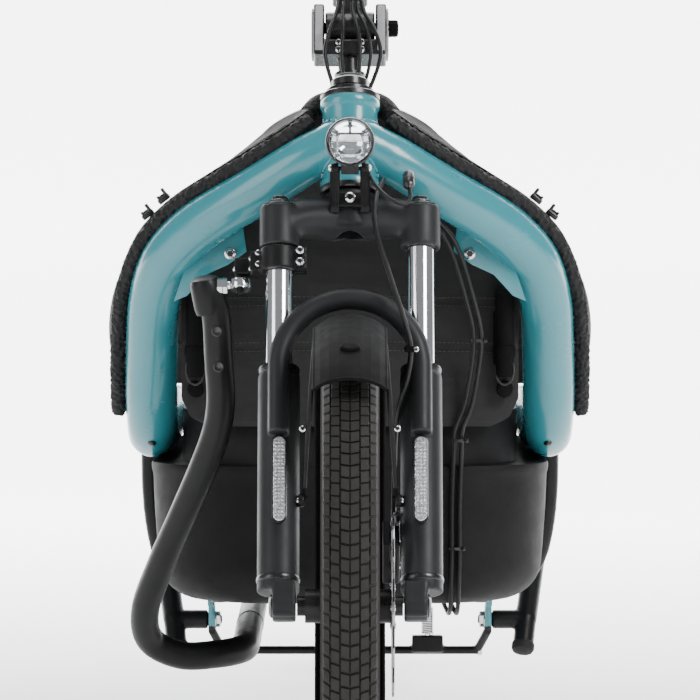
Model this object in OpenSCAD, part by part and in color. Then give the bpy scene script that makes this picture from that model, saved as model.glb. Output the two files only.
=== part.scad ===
// Front-loading cargo bicycle, built as separate sub-parts in one frame.
// Millimetres, +Z up, the front of the bicycle faces -Y, and the ground is z = 0.
// Inside place(), y is measured backwards from the front axle.

/* [Wheels] */
// Distance between the two wheel axles
wheelbase = 2070; // [2060:5:2090]
// Outer radius of the front tyre
front_tyre_r = 264; // [262:1:266]
// Outer radius of the rear tyre
rear_tyre_r = 335; // [330:1:340]
// Width of both tyres
tyre_w = 57; // [50:1:58]
// Number of spokes in each wheel
spokes = 28; // [20:4:36]
// Diameter of the front brake disc
front_disc_d = 180; // [160:10:180]
// Diameter of the rear brake disc
rear_disc_d = 160; // [140:10:180]

/* [Fork] */
// Angle of both steering axes from the vertical
rake = 20; // [19:0.5:21]
// Distance of the front axle ahead of the fork's steering axis
fork_offset = 35; // [33:1:37]
// Distance from the middle plane to each fork leg
leg_x = 72; // [71:1:74]
// Diameter of the chromed upper tubes
stanchion_d = 28; // [26:1:28]
// Outer diameter of the lower legs
leg_d = 43; // [41:1:43]
// Free travel of the fork
travel = 45; // [30:5:45]

/* [Frame] */
// Diameter of the frame tubes beside the cargo box
rail_d = 55; // [50:1:56]
// Diameter of the frame tubes where they meet the front head tube
rail_front_d = 48; // [44:1:50]
// Outer diameter of the front head tube
head_d = 57; // [54:1:60]
// Outer diameter of the steering mast behind the box
mast_d = 46; // [44:1:50]

/* [Cargo box] */
// Half width of the moulded tub below the frame tubes
tub_half_w = 212; // [206:1:213]
// Height of the underside of the tub
tub_bottom = 234; // [232:1:240]
// Thickness of the tub's wall
tub_wall = 4; // [3:0.5:6]
// Thickness of the foam side walls
foam = 14; // [12:1:16]

/* [Steering] */
// Sideways distance of both ball joints from their steering axes
ball_x = 112; // [110:1:114]
// Diameter of the steering rod
rod_d = 30; // [28:1:31]
// Place of the steering mast's foot behind the front axle
mast_y = 970; // [965:1:975]

/* [Rider] */
// Width of the handlebar over the grips
bar_w = 660; // [620:10:700]
// Length of each crank arm
crank_l = 172; // [165:1:175]
// Height of the bottom bracket
crank_z = 290; // [285:1:295]
// Height of the saddle's top
saddle_z = 1000; // [960:10:1040]

/* [Hidden] */
$fn = 64;

// The middle of the whole bicycle lies at y = 0
fender_gap = 17;
front_axle_y = -(wheelbase + rear_tyre_r + fender_gap - front_tyre_r) / 2;
crank_y = wheelbase - 450;
axle = [0, 0, front_tyre_r];
rear_axle = [0, wheelbase, rear_tyre_r];
// Where the fork's steering axis passes the height of the axle's offset
fork_y = fork_offset * cos(rake);
fork_z = front_tyre_r - fork_offset * sin(rake);
// Foot of the rear steering axis
mast_z = 185;
stanchion_y = 10 - fork_offset;
crown_t = 380;
ball_t = 351;
// Pin on which the lamp tilts
lamp_y = 116;
lamp_z = 700;
seat_angle = 18;
stand_y = 880;
stand_z = 172;
rail_x = 212.5;
rail_z = 412;
teal = "cadetblue";
dark = "#2b2b2d";
foam_colour = "#3a3836";

// Centre line of the left frame tube, from the front head tube to the mast, left is +x
rail_route = [
    [2, 197, 731], [26, 200, 718], [52, 205, 704], [104, 225, 672], [141, 245, 650], [170, 264, 628],
    [193, 285, 600], [206, 315, 560], [210, 350, 506], [212, 385, 455], [212, 430, 420],
    [212, 490, 412], [212, 700, 412], [212, 900, 412], [205, 965, 412], [178, 1020, 412],
    [125, 1053, 412], [68, 1060, 412], [0.4, 1060, 412]
];
// Centre line of the steering rod, from its forged head to the rear ball joint
rod_route = [
    [-148, 158, 580], [-138, 162, 552], [-135, 170, 504], [-133, 182, 462], [-138, 196, 428],
    [-152, 214, 389], [-174, 242, 338], [-198, 276, 284], [-216, 312, 234], [-212, 346, 198],
    [-180, 362, 180], [-142, 374, 180], [-116, 400, 183], [-112, 460, 185], [-112, 600, 185],
    [-112, 780, 185], [-112, 945, 185]
];
// Lower brake hose, from the crown over the fork brace and down to the caliper
hose_route = [
    [34, 158, 688], [26, 128, 668], [26, 100, 640], [40, 74, 593], [54, 54, 550],
    [61, 46, 520], [58, 50, 490], [50, 62, 462], [46, 90, 430], [45, 104, 390], [44, 84, 345]
];
// Two cables that run down the front of the tub and back under it
cable_route = [
    [72, 216, 655], [92, 232, 636], [106, 244, 612], [122, 266, 560], [130, 290, 518],
    [122, 312, 455], [111, 318, 424], [110, 328, 402], [108, 330, 340], [108, 330, 290],
    [107, 334, 250], [106, 350, 228], [104, 400, 224], [100, 600, 224]
];
// The lamp's cable hangs in a loop beside the lamp's bracket
lamp_cable_route = [
    [4, 133, 724], [15, 134, 704], [24, 120, 686], [38, 105, 671], [54, 104, 664], [62, 112, 672],
    [60, 122, 684]
];

module place() {
    translate([0, front_axle_y, 0]) children();
}

// Turns to the fork's own frame: z runs up the steering axis and the axle is at y = -fork_offset
module in_fork() {
    place() translate([0, fork_y, fork_z]) rotate([-rake, 0, 0]) children();
}

// Turns to the rear steering axis, with its foot at the origin
module in_mast() {
    place() translate([0, mast_y, mast_z]) rotate([-rake, 0, 0]) children();
}

// Turns to the seat tube's axis, with the bottom bracket at the origin
module in_seat() {
    place() translate([0, crank_y, crank_z]) rotate([-seat_angle, 0, 0]) children();
}

module both_sides() {
    children();
    mirror([1, 0, 0]) children();
}

// Round bar between two points
module bar(p, q, d) {
    run = q - p;
    length = norm(run);
    translate(p) rotate([0, acos(run[2] / length), atan2(run[1], run[0])])
        cylinder(d = d, h = length);
}

// Round bar along x, centred on x
module rod_x(x, y, z, d, length) {
    translate([x - length / 2, y, z]) rotate([0, 90, 0]) cylinder(d = d, h = length);
}

// Turns a profile of [distance from the axle, x] about a wheel's axle
module about_axle(centre, from = 0, sweep = 360) {
    translate(centre) rotate([0, 90, 0]) rotate([0, 0, from])
        rotate_extrude(angle = sweep, $fn = 128) children();
}

function unit(v) = v / norm(v);
function shifted(route, by) = [for (p = route) p + by];

// One point of a smooth curve through a, b, c and d, between b and c
function curve_point(a, b, c, d, s) =
    0.5 * (2 * b + (c - a) * s + (2 * a - 5 * b + 4 * c - d) * s * s
    + (3 * b - a - 3 * c + d) * s * s * s);

// A smooth curve through every point of a route, with a number of steps in each stretch
function smooth(route, steps) = concat(
    [for (i = [0:len(route) - 2]) for (k = [0:steps - 1])
        curve_point(route[max(i - 1, 0)], route[i], route[i + 1],
            route[min(i + 2, len(route) - 1)], k / steps)],
    [route[len(route) - 1]]);

function tangents(path) = [for (i = [0:len(path) - 1])
    unit(path[min(i + 1, len(path) - 1)] - path[max(i - 1, 0)])];

// Sideways directions that never twist about the path
function carried(dirs, i, side) = i >= len(dirs) ? [] :
    let (next = unit(side - (side * dirs[i]) * dirs[i]))
    concat([next], carried(dirs, i + 1, next));

// Straight-line interpolation along a list of points or numbers, for s from 0 to 1
function along(list, s) =
    let (f = s * (len(list) - 1), i = min(floor(f), len(list) - 2))
    list[i] + (list[i + 1] - list[i]) * (f - i);

// Triangles that close a ring, zigzagging between its two halves
function cap(first, n, flip) = [for (j = [0:n / 2 - 2]) for (half = [0, 1])
    let (tri = half == 0 ? [j, j + 1, n - 1 - j] : [j + 1, n - 2 - j, n - 1 - j])
    [for (k = flip ? [2, 1, 0] : [0, 1, 2]) first + tri[k]]];

// Closed solid through rings that all have the same, even number of points
module skin(rings) {
    n = len(rings[0]);
    last = len(rings) - 1;
    polyhedron(
        points = [for (ring = rings) for (p = ring) p],
        faces = concat(
            cap(0, n, false),
            [for (i = [0:last - 1]) for (j = [0:n - 1])
                [i * n + j, (i + 1) * n + j, (i + 1) * n + (j + 1) % n]],
            [for (i = [0:last - 1]) for (j = [0:n - 1])
                [i * n + j, (i + 1) * n + (j + 1) % n, i * n + (j + 1) % n]],
            cap(last * n, n, true)),
        convexity = 8);
}

// Tube along a path; the radii are spread evenly from its start to its end
module sweep(path, radii, sides) {
    dirs = tangents(path);
    side_dirs = carried(dirs, 0, abs(dirs[0][2]) > 0.9 ? [1, 0, 0] : [0, 0, 1]);
    skin([for (i = [0:len(path) - 1])
        let (a = side_dirs[i], b = cross(dirs[i], a), r = along(radii, i / (len(path) - 1)))
        [for (j = [0:sides - 1])
            path[i] + r * (cos(360 * j / sides) * a + sin(360 * j / sides) * b)]]);
}

// ---------------------------------------------------------------- frame

module front_head_tube() {
    color(teal) in_fork() difference() {
        union() {
            translate([0, 0, 453]) cylinder(d = head_d, h = 95);
            translate([0, 0, 453]) cylinder(d = head_d + 4, h = 8);
            translate([0, 0, 540]) cylinder(d = head_d + 4, h = 8);
        }
        translate([0, 0, 450]) cylinder(d = 44, h = 101);
    }
}

// One side of the frame from head tube to mast, with the gusset welded inside its bend
module frame_tube(side) {
    color(teal) place() mirror([side < 0 ? 1 : 0, 0, 0]) difference() {
        union() {
            sweep(smooth(rail_route, 3), [rail_front_d, rail_d, rail_d, rail_d, rail_d] / 2, 20);
            translate([0, 268, 0]) rotate([90, 0, 0]) linear_extrude(5)
                polygon([[112, 640], [146, 622], [172, 596], [184, 560], [170, 566],
                    [150, 588], [128, 598], [108, 612]]);
        }
        translate([125, 271, 610]) rotate([90, 0, 0]) cylinder(d = 6.4, h = 11);
        translate([0, fork_y, fork_z]) rotate([-rake, 0, 0])
            translate([0, 0, 400]) cylinder(d = head_d, h = 200);
        translate([0, mast_y, mast_z]) rotate([-rake, 0, 0])
            cylinder(d = mast_d, h = 400);
    }
}

module gusset_bolts() {
    color("silver") place() both_sides() translate([125, 0, 610]) rotate([90, 0, 0]) {
        translate([0, 0, -268]) cylinder(d = 6, h = 5);
        translate([0, 0, -263]) cylinder(d = 12, h = 4);
    }
}

module steering_mast() {
    color(teal) in_mast() difference() {
        translate([0, 0, 40]) cylinder(d = mast_d, h = 600);
        translate([0, 0, 39]) cylinder(d = 34, h = 602);
    }
}

module main_tube() {
    color(teal) place() difference() {
        bar([0, 1136, 600], [0, crank_y + 50, 410], 56);
        translate([0, mast_y, mast_z]) rotate([-rake, 0, 0]) cylinder(d = mast_d, h = 600);
        translate([0, crank_y, crank_z]) rotate([-seat_angle, 0, 0]) cylinder(d = 36, h = 400);
    }
}

module lower_tube() {
    color(teal) place() difference() {
        bar([0, 1030, 318], [0, crank_y - 40, crank_z], 50);
        translate([0, mast_y, mast_z]) rotate([-rake, 0, 0]) cylinder(d = mast_d, h = 400);
        rod_x(0, crank_y, crank_z, 150, 120);
    }
}

module seat_tube() {
    color(teal) in_seat() difference() {
        union() {
            translate([0, 0, 77]) cylinder(d = 36, h = 293);
            translate([0, 0, 352]) cylinder(d = 42, h = 18);
            translate([-5, 12, 352]) cube([10, 18, 18]);
        }
        translate([0, 0, 74]) cylinder(d = 31.4, h = 300);
    }
}

// One chain stay, one seat stay and the plate that carries the rear axle
module rear_stay(side) {
    color(teal) place() mirror([side < 0 ? 1 : 0, 0, 0]) difference() {
        union() {
            bar([38, crank_y + 30, crank_z + 12], [46, crank_y + 120, crank_z + 20], 18);
            bar([46, crank_y + 120, crank_z + 20], [73, wheelbase - 60, rear_tyre_r - 8], 18);
            bar([24, crank_y + 110, crank_z + 315], [46, crank_y + 150, crank_z + 280], 16);
            bar([46, crank_y + 150, crank_z + 280], [73, wheelbase - 14, rear_tyre_r + 50], 16);
            translate([46, crank_y + 120, crank_z + 20]) sphere(d = 19);
            translate([46, crank_y + 150, crank_z + 280]) sphere(d = 17);
            translate([69, wheelbase - 70, rear_tyre_r - 17]) cube([8, 80, 18]);
            translate([69, wheelbase - 24, rear_tyre_r]) cube([8, 20, 62]);
            rod_x(73, wheelbase, rear_tyre_r, 40, 8);
        }
        rod_x(73, wheelbase, rear_tyre_r, 12.2, 20);
        translate([0, crank_y, crank_z]) rotate([-seat_angle, 0, 0]) cylinder(d = 36, h = 400);
        rod_x(0, crank_y, crank_z, 150, 90);
    }
}

// Cross member under the tub, with the lugs that hold the stand
module stand_yoke() {
    yoke = [[228, stand_y - 44, 394], [228, stand_y - 44, 340], [224, stand_y - 44, 290],
        [213, stand_y - 44, 246], [189, stand_y - 44, 220], [150, stand_y - 44, 214]];
    color(teal) place() {
        both_sides() sweep(smooth(yoke, 3), [12, 12], 12);
        translate([-162, stand_y - 60, 224.5]) cube([324, 32, 7]);
        both_sides() difference() {
            union() {
                rod_x(160, stand_y, stand_z, 30, 8);
                translate([156, stand_y - 44, 190]) cube([8, 40, 25]);
                translate([156, stand_y - 15, stand_z]) cube([8, 30, 30]);
            }
            rod_x(160, stand_y, stand_z, 12.2, 20);
        }
        both_sides() {
            bar([160, stand_y - 6, stand_z - 12], [148, stand_y + 22, stand_z - 38], 10);
            translate([148, stand_y + 22, stand_z - 38]) sphere(d = 10.6);
        }
        bar([-148, stand_y + 22, stand_z - 38], [148, stand_y + 22, stand_z - 38], 10);
        translate([72, stand_y + 10, stand_z - 40]) cube([36, 16, 20]);
    }
}

// ---------------------------------------------------------------- drive unit

module motor() {
    color(dark) place() difference() {
        union() {
            rod_x(0, crank_y, crank_z, 148, 84);
            rod_x(0, crank_y, crank_z, 90, 96);
            translate([-36, crank_y + 20, crank_z - 30]) cube([72, 62, 30]);
        }
        rod_x(0, crank_y, crank_z, 27, 120);
        translate([0, crank_y, crank_z]) rotate([-seat_angle, 0, 0]) translate([0, 0, 70])
            cylinder(d = 60, h = 60);
    }
}

module battery() {
    color("#202022") place() translate([0, 1180, 343]) rotate([-2.7, 0, 0])
        translate([-43, 0, 0]) {
            cube([86, 320, 62]);
            translate([8, 20, 62]) cube([70, 200, 10]);
        }
}

module belt() {
    color("#181818") place() translate([-62, 0, 0]) rotate([90, 0, 90]) linear_extrude(10)
        difference() {
            hull() {
                translate([crank_y, crank_z]) circle(r = 66);
                translate([wheelbase, rear_tyre_r]) circle(r = 36);
            }
            hull() {
                translate([crank_y, crank_z]) circle(r = 62.6);
                translate([wheelbase, rear_tyre_r]) circle(r = 32.6);
            }
        }
}

// ---------------------------------------------------------------- cargo box

// Half width of the tub at a height: it widens upwards and steps in between the frame tubes
function tub_w(z) = z > 383 ? rail_x - rail_d / 2 - 5 : tub_half_w - 10 * pow((383 - z) / 149, 1.6);

// Outline of the tub in plan at a height, with large rounded front corners
function tub_ring(z, inset) =
    let (w = tub_w(z) - inset, front = 335 + inset, back = 930 - inset,
        rf = 105 - inset * 0.5, rb = 40 - inset * 0.5)
    concat(
        [for (a = [0:15:90]) [w - rf + rf * sin(a), front + rf - rf * cos(a), z]],
        [for (a = [0:22.5:90]) [w - rb + rb * cos(a), back - rb + rb * sin(a), z]],
        [for (a = [90:-22.5:0]) [-w + rb - rb * cos(a), back - rb + rb * sin(a), z]],
        [for (a = [90:-15:0]) [-w + rf - rf * sin(a), front + rf - rf * cos(a), z]]);

module cargo_tub() {
    edge = 40;
    corner = [for (a = [0:22.5:90]) [edge * (1 - sin(a)), edge * (1 - cos(a))]];
    color("#242425") place() skin(concat(
        [for (c = corner) tub_ring(tub_bottom + c[1], c[0])],
        [for (z = [320, 370, 383]) tub_ring(z, 0)],
        [tub_ring(384, 0), tub_ring(440, 0), tub_ring(440, tub_wall), tub_ring(384, tub_wall)],
        [tub_ring(383 - tub_wall, tub_wall), tub_ring(320, tub_wall)],
        [for (i = [len(corner) - 1:-1:0])
            tub_ring(tub_bottom + tub_wall + corner[i][1] * 0.9, tub_wall + corner[i][0] * 0.9)]));
}

module floor_plate() {
    color("dimgray") place() difference() {
        translate([-130, 430, tub_bottom + tub_wall]) cube([260, 440, 8]);
        for (x = [-100, 100])
            for (y = [470, 830])
                translate([x, y, tub_bottom]) cylinder(d = 6.6, h = 20);
    }
}

// The foam wall's four edges: front rim beside the frame tube, rear edge, bottom and top
wall_front = smooth([[241.5, 425, 436], [241.5, 392, 468], [240, 356, 516], [234, 320, 568],
    [214, 290, 620], [185, 268, 652], [155, 249, 673], [117, 229, 695], [65, 212, 727],
    [38, 218, 747]], 3);
wall_rear = [[241.5, 1000, 436], [241, 1030, 518], [238, 1058, 600]];
wall_bottom = [[241.5, 425, 436], [241.5, 700, 436], [241.5, 1000, 436]];
wall_top = smooth([[38, 218, 747], [46, 246, 748], [72, 279, 736], [108, 300, 712],
    [150, 334, 685], [184, 388, 651], [211, 476, 614], [225, 590, 592], [232, 750, 586],
    [236, 900, 588], [238, 1058, 600]], 3);

// A smooth surface that meets all four edges
function wall_point(u, v) =
    (1 - u) * along(wall_front, v) + u * along(wall_rear, v)
    + (1 - v) * along(wall_bottom, u) + v * along(wall_top, u)
    - (1 - u) * (1 - v) * wall_front[0] - u * (1 - v) * wall_rear[0]
    - (1 - u) * v * wall_top[0] - u * v * wall_rear[2];

function wall_normal(u, v) =
    let (e = 0.02, a = min(u + e, 1), b = max(u - e, 0), c = min(v + e, 1), d = max(v - e, 0))
    unit(cross(wall_point(a, v) - wall_point(b, v), wall_point(u, c) - wall_point(u, d)));

module side_wall(side) {
    nu = 18;
    nv = 14;
    color(foam_colour) place() mirror([side < 0 ? 1 : 0, 0, 0])
        skin([for (i = [0:nu]) let (u = pow(i / nu, 1.3)) concat(
            [for (j = [0:nv]) wall_point(u, j / nv)],
            [for (j = [nv:-1:0]) wall_point(u, j / nv) + foam * wall_normal(u, j / nv)])]);
}

// Upright panel, a part that leans forward above it, and a soft roll behind the head tube
module front_panel() {
    color("#1c1c1e") place() {
        translate([0, 332, 0]) rotate([90, 0, 0]) linear_extrude(9)
            polygon(concat(
                [for (a = [0:15:90]) [148 + 30 * sin(a), 456 - 30 * cos(a)]],
                [[178, 560], [150, 618], [135, 655], [-135, 655], [-150, 618], [-178, 560]],
                [for (a = [90:-15:0]) [-148 - 30 * sin(a), 456 - 30 * cos(a)]]));
        translate([0, 323, 655]) rotate([28.8, 0, 0]) translate([0, 9, 0]) rotate([90, 0, 0])
            linear_extrude(9) polygon([[-135, 0], [135, 0], [38, 116], [-38, 116]]);
        sweep(smooth([[33, 250, 757], [20, 262, 763], [0, 267, 766], [-20, 262, 763],
            [-33, 250, 757]], 4), [9, 9], 16);
    }
}

module rear_panel() {
    color("#1c1c1e") place() translate([0, 962, 444]) rotate([-rake, 0, 0])
        translate([-234, 0, 0]) cube([468, 9, 166]);
}

// Two pockets for the cover's poles, each with a strap and a round knob, and the snap clips
// that hold the cover's edge on the foam walls
module cover_fittings() {
    u = 0.05;
    color("#161617") place() both_sides() {
        translate([163, 312.9, 0]) {
            difference() {
                translate([0, 0, 479]) cylinder(d = 20, h = 84);
                translate([0, 0, 485]) cylinder(d = 14, h = 84);
                translate([0, 0, 570]) rotate([35, 0, 0]) cube([40, 60, 20], center = true);
            }
            translate([-4, -3, 470]) cube([8, 6, 9]);
            translate([0, 3, 466]) rotate([90, 0, 0]) cylinder(d = 18, h = 8);
        }
        for (v = [0.59, 0.67])
            translate(wall_point(u, v) + (foam + 5.8) * wall_normal(u, v)) rotate([0, 38, 0]) {
                cube([14, 12, 8], center = true);
                translate([-5, 0, 6]) cube([4, 12, 8], center = true);
            }
    }
}

// ---------------------------------------------------------------- steering bearings

module cup(bore, d, h) {
    difference() {
        cylinder(d = d, h = h);
        translate([0, 0, -1]) cylinder(d = bore, h = h + 2);
    }
}

module headset_cups() {
    color("#19191a") {
        in_fork() {
            translate([0, 0, 446.5]) cup(30, 64, 6.5);
            translate([0, 0, 453]) cup(30, 44, 12);
            translate([0, 0, 548]) cup(30, 62, 7);
            translate([0, 0, 536]) cup(30, 44, 12);
            translate([0, 0, 555]) cup(30, 50, 6);
        }
        in_mast() {
            translate([0, 0, 30]) cup(29.4, 46, 10);
            translate([0, 0, 640]) cup(29.4, 48, 10);
            translate([0, 0, 40]) cup(29.4, 34, 10);
            translate([0, 0, 630]) cup(29.4, 34, 10);
        }
    }
}

// ---------------------------------------------------------------- rear fender, light, cables

// Curved fender section: half width, outer radius and thickness
module fender_section(r, half_w, thick) {
    polygon(concat(
        [for (a = [-60:15:60]) [r - 14 * (1 - cos(a)) / 0.5, half_w * sin(a) / sin(60)]],
        [for (a = [60:-15:-60])
            [r - thick - 14 * (1 - cos(a)) / 0.5, (half_w - 1) * sin(a) / sin(60)]]));
}

module rear_fender() {
    color("#1a1a1b") place() {
        about_axle(rear_axle, 80, 165) fender_section(rear_tyre_r + fender_gap, 36, 2.5);
        both_sides() bar([33, wheelbase + 150, rear_tyre_r + 306],
            [66, wheelbase + 16, rear_tyre_r + 18], 5);
    }
}

module rear_light() {
    color("firebrick") place() translate([0, wheelbase + 200, rear_tyre_r + 290])
        rotate([-35, 0, 0]) {
            translate([-26, -8, 1]) cube([52, 16, 24]);
            translate([-20, 8, 4]) cube([40, 3, 18]);
        }
}

module front_cables() {
    color("#111112") place() {
        sweep(smooth(cable_route, 4), [2.5, 2.5], 8);
        sweep(smooth(shifted(cable_route, [8, 0, 0]), 4), [2.5, 2.5], 8);
        for (p = [[134, 290, 518], [115, 322, 411], [112, 330, 296]])
            translate(p) cube([16, 7, 4], center = true);
    }
}

// ---------------------------------------------------------------- fork

module fork_crown() {
    color(dark) in_fork() difference() {
        union() {
            translate([0, 0, 408]) cylinder(d = 54, h = 38);
            translate([0, 0, 430]) cylinder(d = 28.6, h = 145);
            translate([0, 0, 563]) cylinder(d = 38, h = 9);
            translate([0, 0, 572]) cylinder(d = 32, h = 5);
            sweep(smooth([[leg_x, stanchion_y, 384], [leg_x - 2, stanchion_y + 1, 400],
                [58, -20, 412], [34, -10, 418], [0, 0, 419], [-34, -10, 418], [-58, -20, 412],
                [2 - leg_x, stanchion_y + 1, 400], [-leg_x, stanchion_y, 384]], 3),
                [20, 20, 20, 21.5, 23, 21.5, 20, 20, 20], 24);
            both_sides() {
                translate([leg_x, stanchion_y, crown_t]) cylinder(d = 41, h = 44);
                translate([leg_x, stanchion_y, 424]) cylinder(d = 24, h = 7);
                translate([leg_x, stanchion_y, 431]) cylinder(d = 15, h = 5);
            }
        }
        both_sides() translate([leg_x, stanchion_y, crown_t - 1])
            cylinder(d = stanchion_d, h = 41);
        translate([0, 0, 390]) cylinder(d = 22, h = 190);
        translate([0, 0, 390]) cylinder(d = 30, h = 34);
    }
}

module stanchions() {
    color("white") in_fork() both_sides()
        translate([leg_x, stanchion_y, 195 - travel])
            cylinder(d = stanchion_d, h = 225 + travel);
}

// Split clamp on the right upper tube, with the arm and pin that drive the fork
module steering_clamp() {
    clamp_t = 355;
    color("#1b1b1c") in_fork() {
        difference() {
            union() {
                translate([-leg_x, stanchion_y, clamp_t]) cylinder(d = 40, h = 24);
                translate([-leg_x - 30, stanchion_y - 2, clamp_t + 2]) cube([16, 24, 20]);
                translate([-leg_x + 14, stanchion_y - 10, clamp_t]) cube([14, 20, 24]);
                translate([-ball_x - 6, -9, clamp_t + 4]) cube([30, 18, 17]);
            }
            translate([-leg_x, stanchion_y, clamp_t - 1]) cylinder(d = stanchion_d, h = 26);
            translate([-leg_x + 10, stanchion_y - 1, clamp_t - 1]) cube([30, 2, 26]);
        }
        translate([-ball_x, 0, ball_t - 12]) cylinder(d = 8, h = 24);
        for (t = [6, 18]) {
            translate([-leg_x + 21, stanchion_y - 10, clamp_t + t]) rotate([90, 0, 0])
                cylinder(d = 9, h = 5);
            translate([-ball_x + 12, -9, clamp_t + 2 + t * 0.9]) rotate([90, 0, 0])
                cylinder(d = 7, h = 4);
        }
    }
}

// Two struts from a plate on the crown up to the lamp's pivot pin
module lamp_bracket() {
    color("#1b1b1c") {
        in_fork() {
            translate([-20, -34, 424]) cube([40, 8, 16]);
            translate([0, -33, 432]) rotate([90, 0, 0]) cylinder(d = 11, h = 5);
        }
        place() {
            both_sides() {
                bar([15.5, 149, 663], [15.5, lamp_y, lamp_z], 7);
                rod_x(15.5, lamp_y, lamp_z, 10, 7);
            }
            rod_x(0, lamp_y, lamp_z, 4.6, 34);
        }
    }
}

module lamp_cable() {
    color("#111112") place() {
        sweep(smooth(lamp_cable_route, 4), [2, 2], 8);
        translate([60, 128, 688]) rotate([-50, 0, 0]) cylinder(d = 12, h = 18, center = true);
    }
}

module lamp_shell() {
    color("#202021") place() translate([0, 84, 727]) rotate([-90, 0, 0]) difference() {
        union() {
            cylinder(d = 49, h = 26);
            translate([0, 0, 26]) cylinder(d1 = 49, d2 = 26, h = 20);
            translate([-9, 10, 24]) cube([18, 23, 14]);
        }
        translate([0, 0, -1]) cylinder(d = 43, h = 8);
        translate([0, 0, 6.9]) cylinder(d1 = 42, d2 = 14, h = 20);
        rod_x(0, 727 - lamp_z, lamp_y - 84, 5.2, 30);
    }
}

module lamp_lens() {
    color("white") place() translate([0, 86, 727]) rotate([-90, 0, 0]) {
        cylinder(d = 42.6, h = 3);
        translate([0, 0, 3]) cylinder(d = 39, h = 2);
        for (x = [-8, 8]) translate([x - 5, -14, 5]) cube([10, 6, 6]);
    }
}

module fork_lowers() {
    color(dark) in_fork() difference() {
        union() {
            both_sides() {
                translate([leg_x, stanchion_y, 16]) cylinder(d = leg_d, h = 228);
                translate([leg_x, stanchion_y, 244]) cylinder(d = leg_d - 5, h = 8);
                translate([leg_x, -50, 176]) cylinder(d = 22, h = 70);
                translate([54, -fork_offset - 13, -13]) cube([24, 30, 36]);
                translate([54, -fork_offset, 0]) rotate([0, 90, 0]) cylinder(d = 30, h = 24);
            }
            translate([0, -50, 246]) rotate([90, 0, 0]) rotate_extrude(angle = 180)
                translate([leg_x, 0]) circle(d = 22);
        }
        both_sides() translate([leg_x, stanchion_y, 95]) cylinder(d = stanchion_d + 0.8, h = 160);
        both_sides() translate([40, -fork_offset, 0]) rotate([0, 90, 0]) cylinder(d = 12, h = 60);
    }
}

module front_fender() {
    color("#1a1a1b") place() {
        about_axle(axle, 63, 153) fender_section(front_tyre_r + 28, 35.5, 2.5);
        both_sides() {
            bar([34, 10, 542], [46, 36, 372], 4);
            bar([46, 36, 372], [49, 38, 366], 8);
        }
    }
}

module fork_reflectors() {
    color("whitesmoke") in_fork() both_sides() translate([leg_x - 1, stanchion_y - 20, 0])
        difference() {
            union() {
                translate([-7, -5, 90]) cube([14, 4, 76]);
                translate([0, -1, 90]) rotate([90, 0, 0]) cylinder(d = 14, h = 4);
                translate([0, -1, 166]) rotate([90, 0, 0]) cylinder(d = 14, h = 4);
            }
            translate([0.99, 20, 0]) cylinder(d = leg_d + 0.2, h = 200);
        }
}

module front_caliper() {
    color("#232324") place() translate([0, 66, 318]) rotate([45, 0, 0]) difference() {
        translate([33, -20, -34]) cube([17, 32, 62]);
        translate([41, -60, -60]) cube([4, 100, 120]);
        translate([30, -6, -4]) rotate([0, 90, 0]) cylinder(d = 24, h = 24);
    }
}

module brake_hose() {
    color("#111112") place() {
        sweep(smooth(hose_route, 4), [2.6, 2.6], 8);
        translate([61, 47, 516]) cube([12, 9, 6], center = true);
    }
}

// ---------------------------------------------------------------- wheels

module tyre(centre, r) {
    depth = 54;
    half = tyre_w / 2;
    color("#1d1d1d") place() about_axle(centre) polygon(concat(
        [[r, -10], [r, 10]],
        [for (a = [68:-17:0]) [r - depth / 2 + depth / 2 * sin(a), half * cos(a)]],
        [[r - 46, 15], [r - 50, 12], [r - 44, 11], [r - 34, 23], [r - 20, 24.5], [r - 8, 14]],
        [[r - 8, -14], [r - 20, -24.5], [r - 34, -23], [r - 44, -11], [r - 50, -12], [r - 46, -15]],
        [for (a = [0:17:68]) [r - depth / 2 + depth / 2 * sin(a), -half * cos(a)]]));
}

module rim(centre, r) {
    color("#151515") place() about_axle(centre) polygon([
        [r - 50.5, -11.5], [r - 55, -11.5], [r - 55, 11.5], [r - 50.5, 11.5], [r - 46, 10.5],
        [r - 44.5, 10.5], [r - 52, 14], [r - 60, 12], [r - 72, 5], [r - 72, -5],
        [r - 60, -12], [r - 52, -14], [r - 44.5, -10.5], [r - 46, -10.5]]);
}

// Crossed spokes between two hub flanges and the rim
module spoke_set(centre, r, flange_r, flange_x) {
    color("silver") place() translate(centre) for (i = [0:spokes - 1])
        let (a = 360 * i / spokes, lead = (i % 4 < 2 ? 50 : -50), x = (i % 2 == 0 ? 1 : -1))
        bar([x * flange_x, flange_r * cos(a + lead), flange_r * sin(a + lead)],
            [x * 1.5, (r - 70.5) * cos(a), (r - 70.5) * sin(a)], 2.2);
}

module disc(centre, x, d) {
    difference() {
        union() {
            translate(centre) rod_x(x, 0, 0, d, 1.8);
        }
        translate(centre) rod_x(x, 0, 0, d - 30, 4);
    }
    difference() {
        translate(centre) for (a = [0:60:300])
            rotate([a, 0, 0]) translate([x - 0.9, -5, 20]) cube([1.8, 10, d / 2 - 30]);
        translate(centre) rod_x(x, 0, 0, 40, 4);
    }
    translate(centre) rod_x(x, 0, 0, 50, 1.8);
}

module front_hub() {
    color("#222223") place() difference() {
        union() {
            translate(axle) rod_x(0, 0, 0, 34, 90);
            for (x = [-26, 26]) translate(axle) rod_x(x, 0, 0, 56, 4);
            translate(axle) rod_x(0, 0, 0, 20, 106);
            disc(axle, 43, front_disc_d);
        }
        translate(axle) rod_x(0, 0, 0, 12.6, 120);
    }
}

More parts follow.
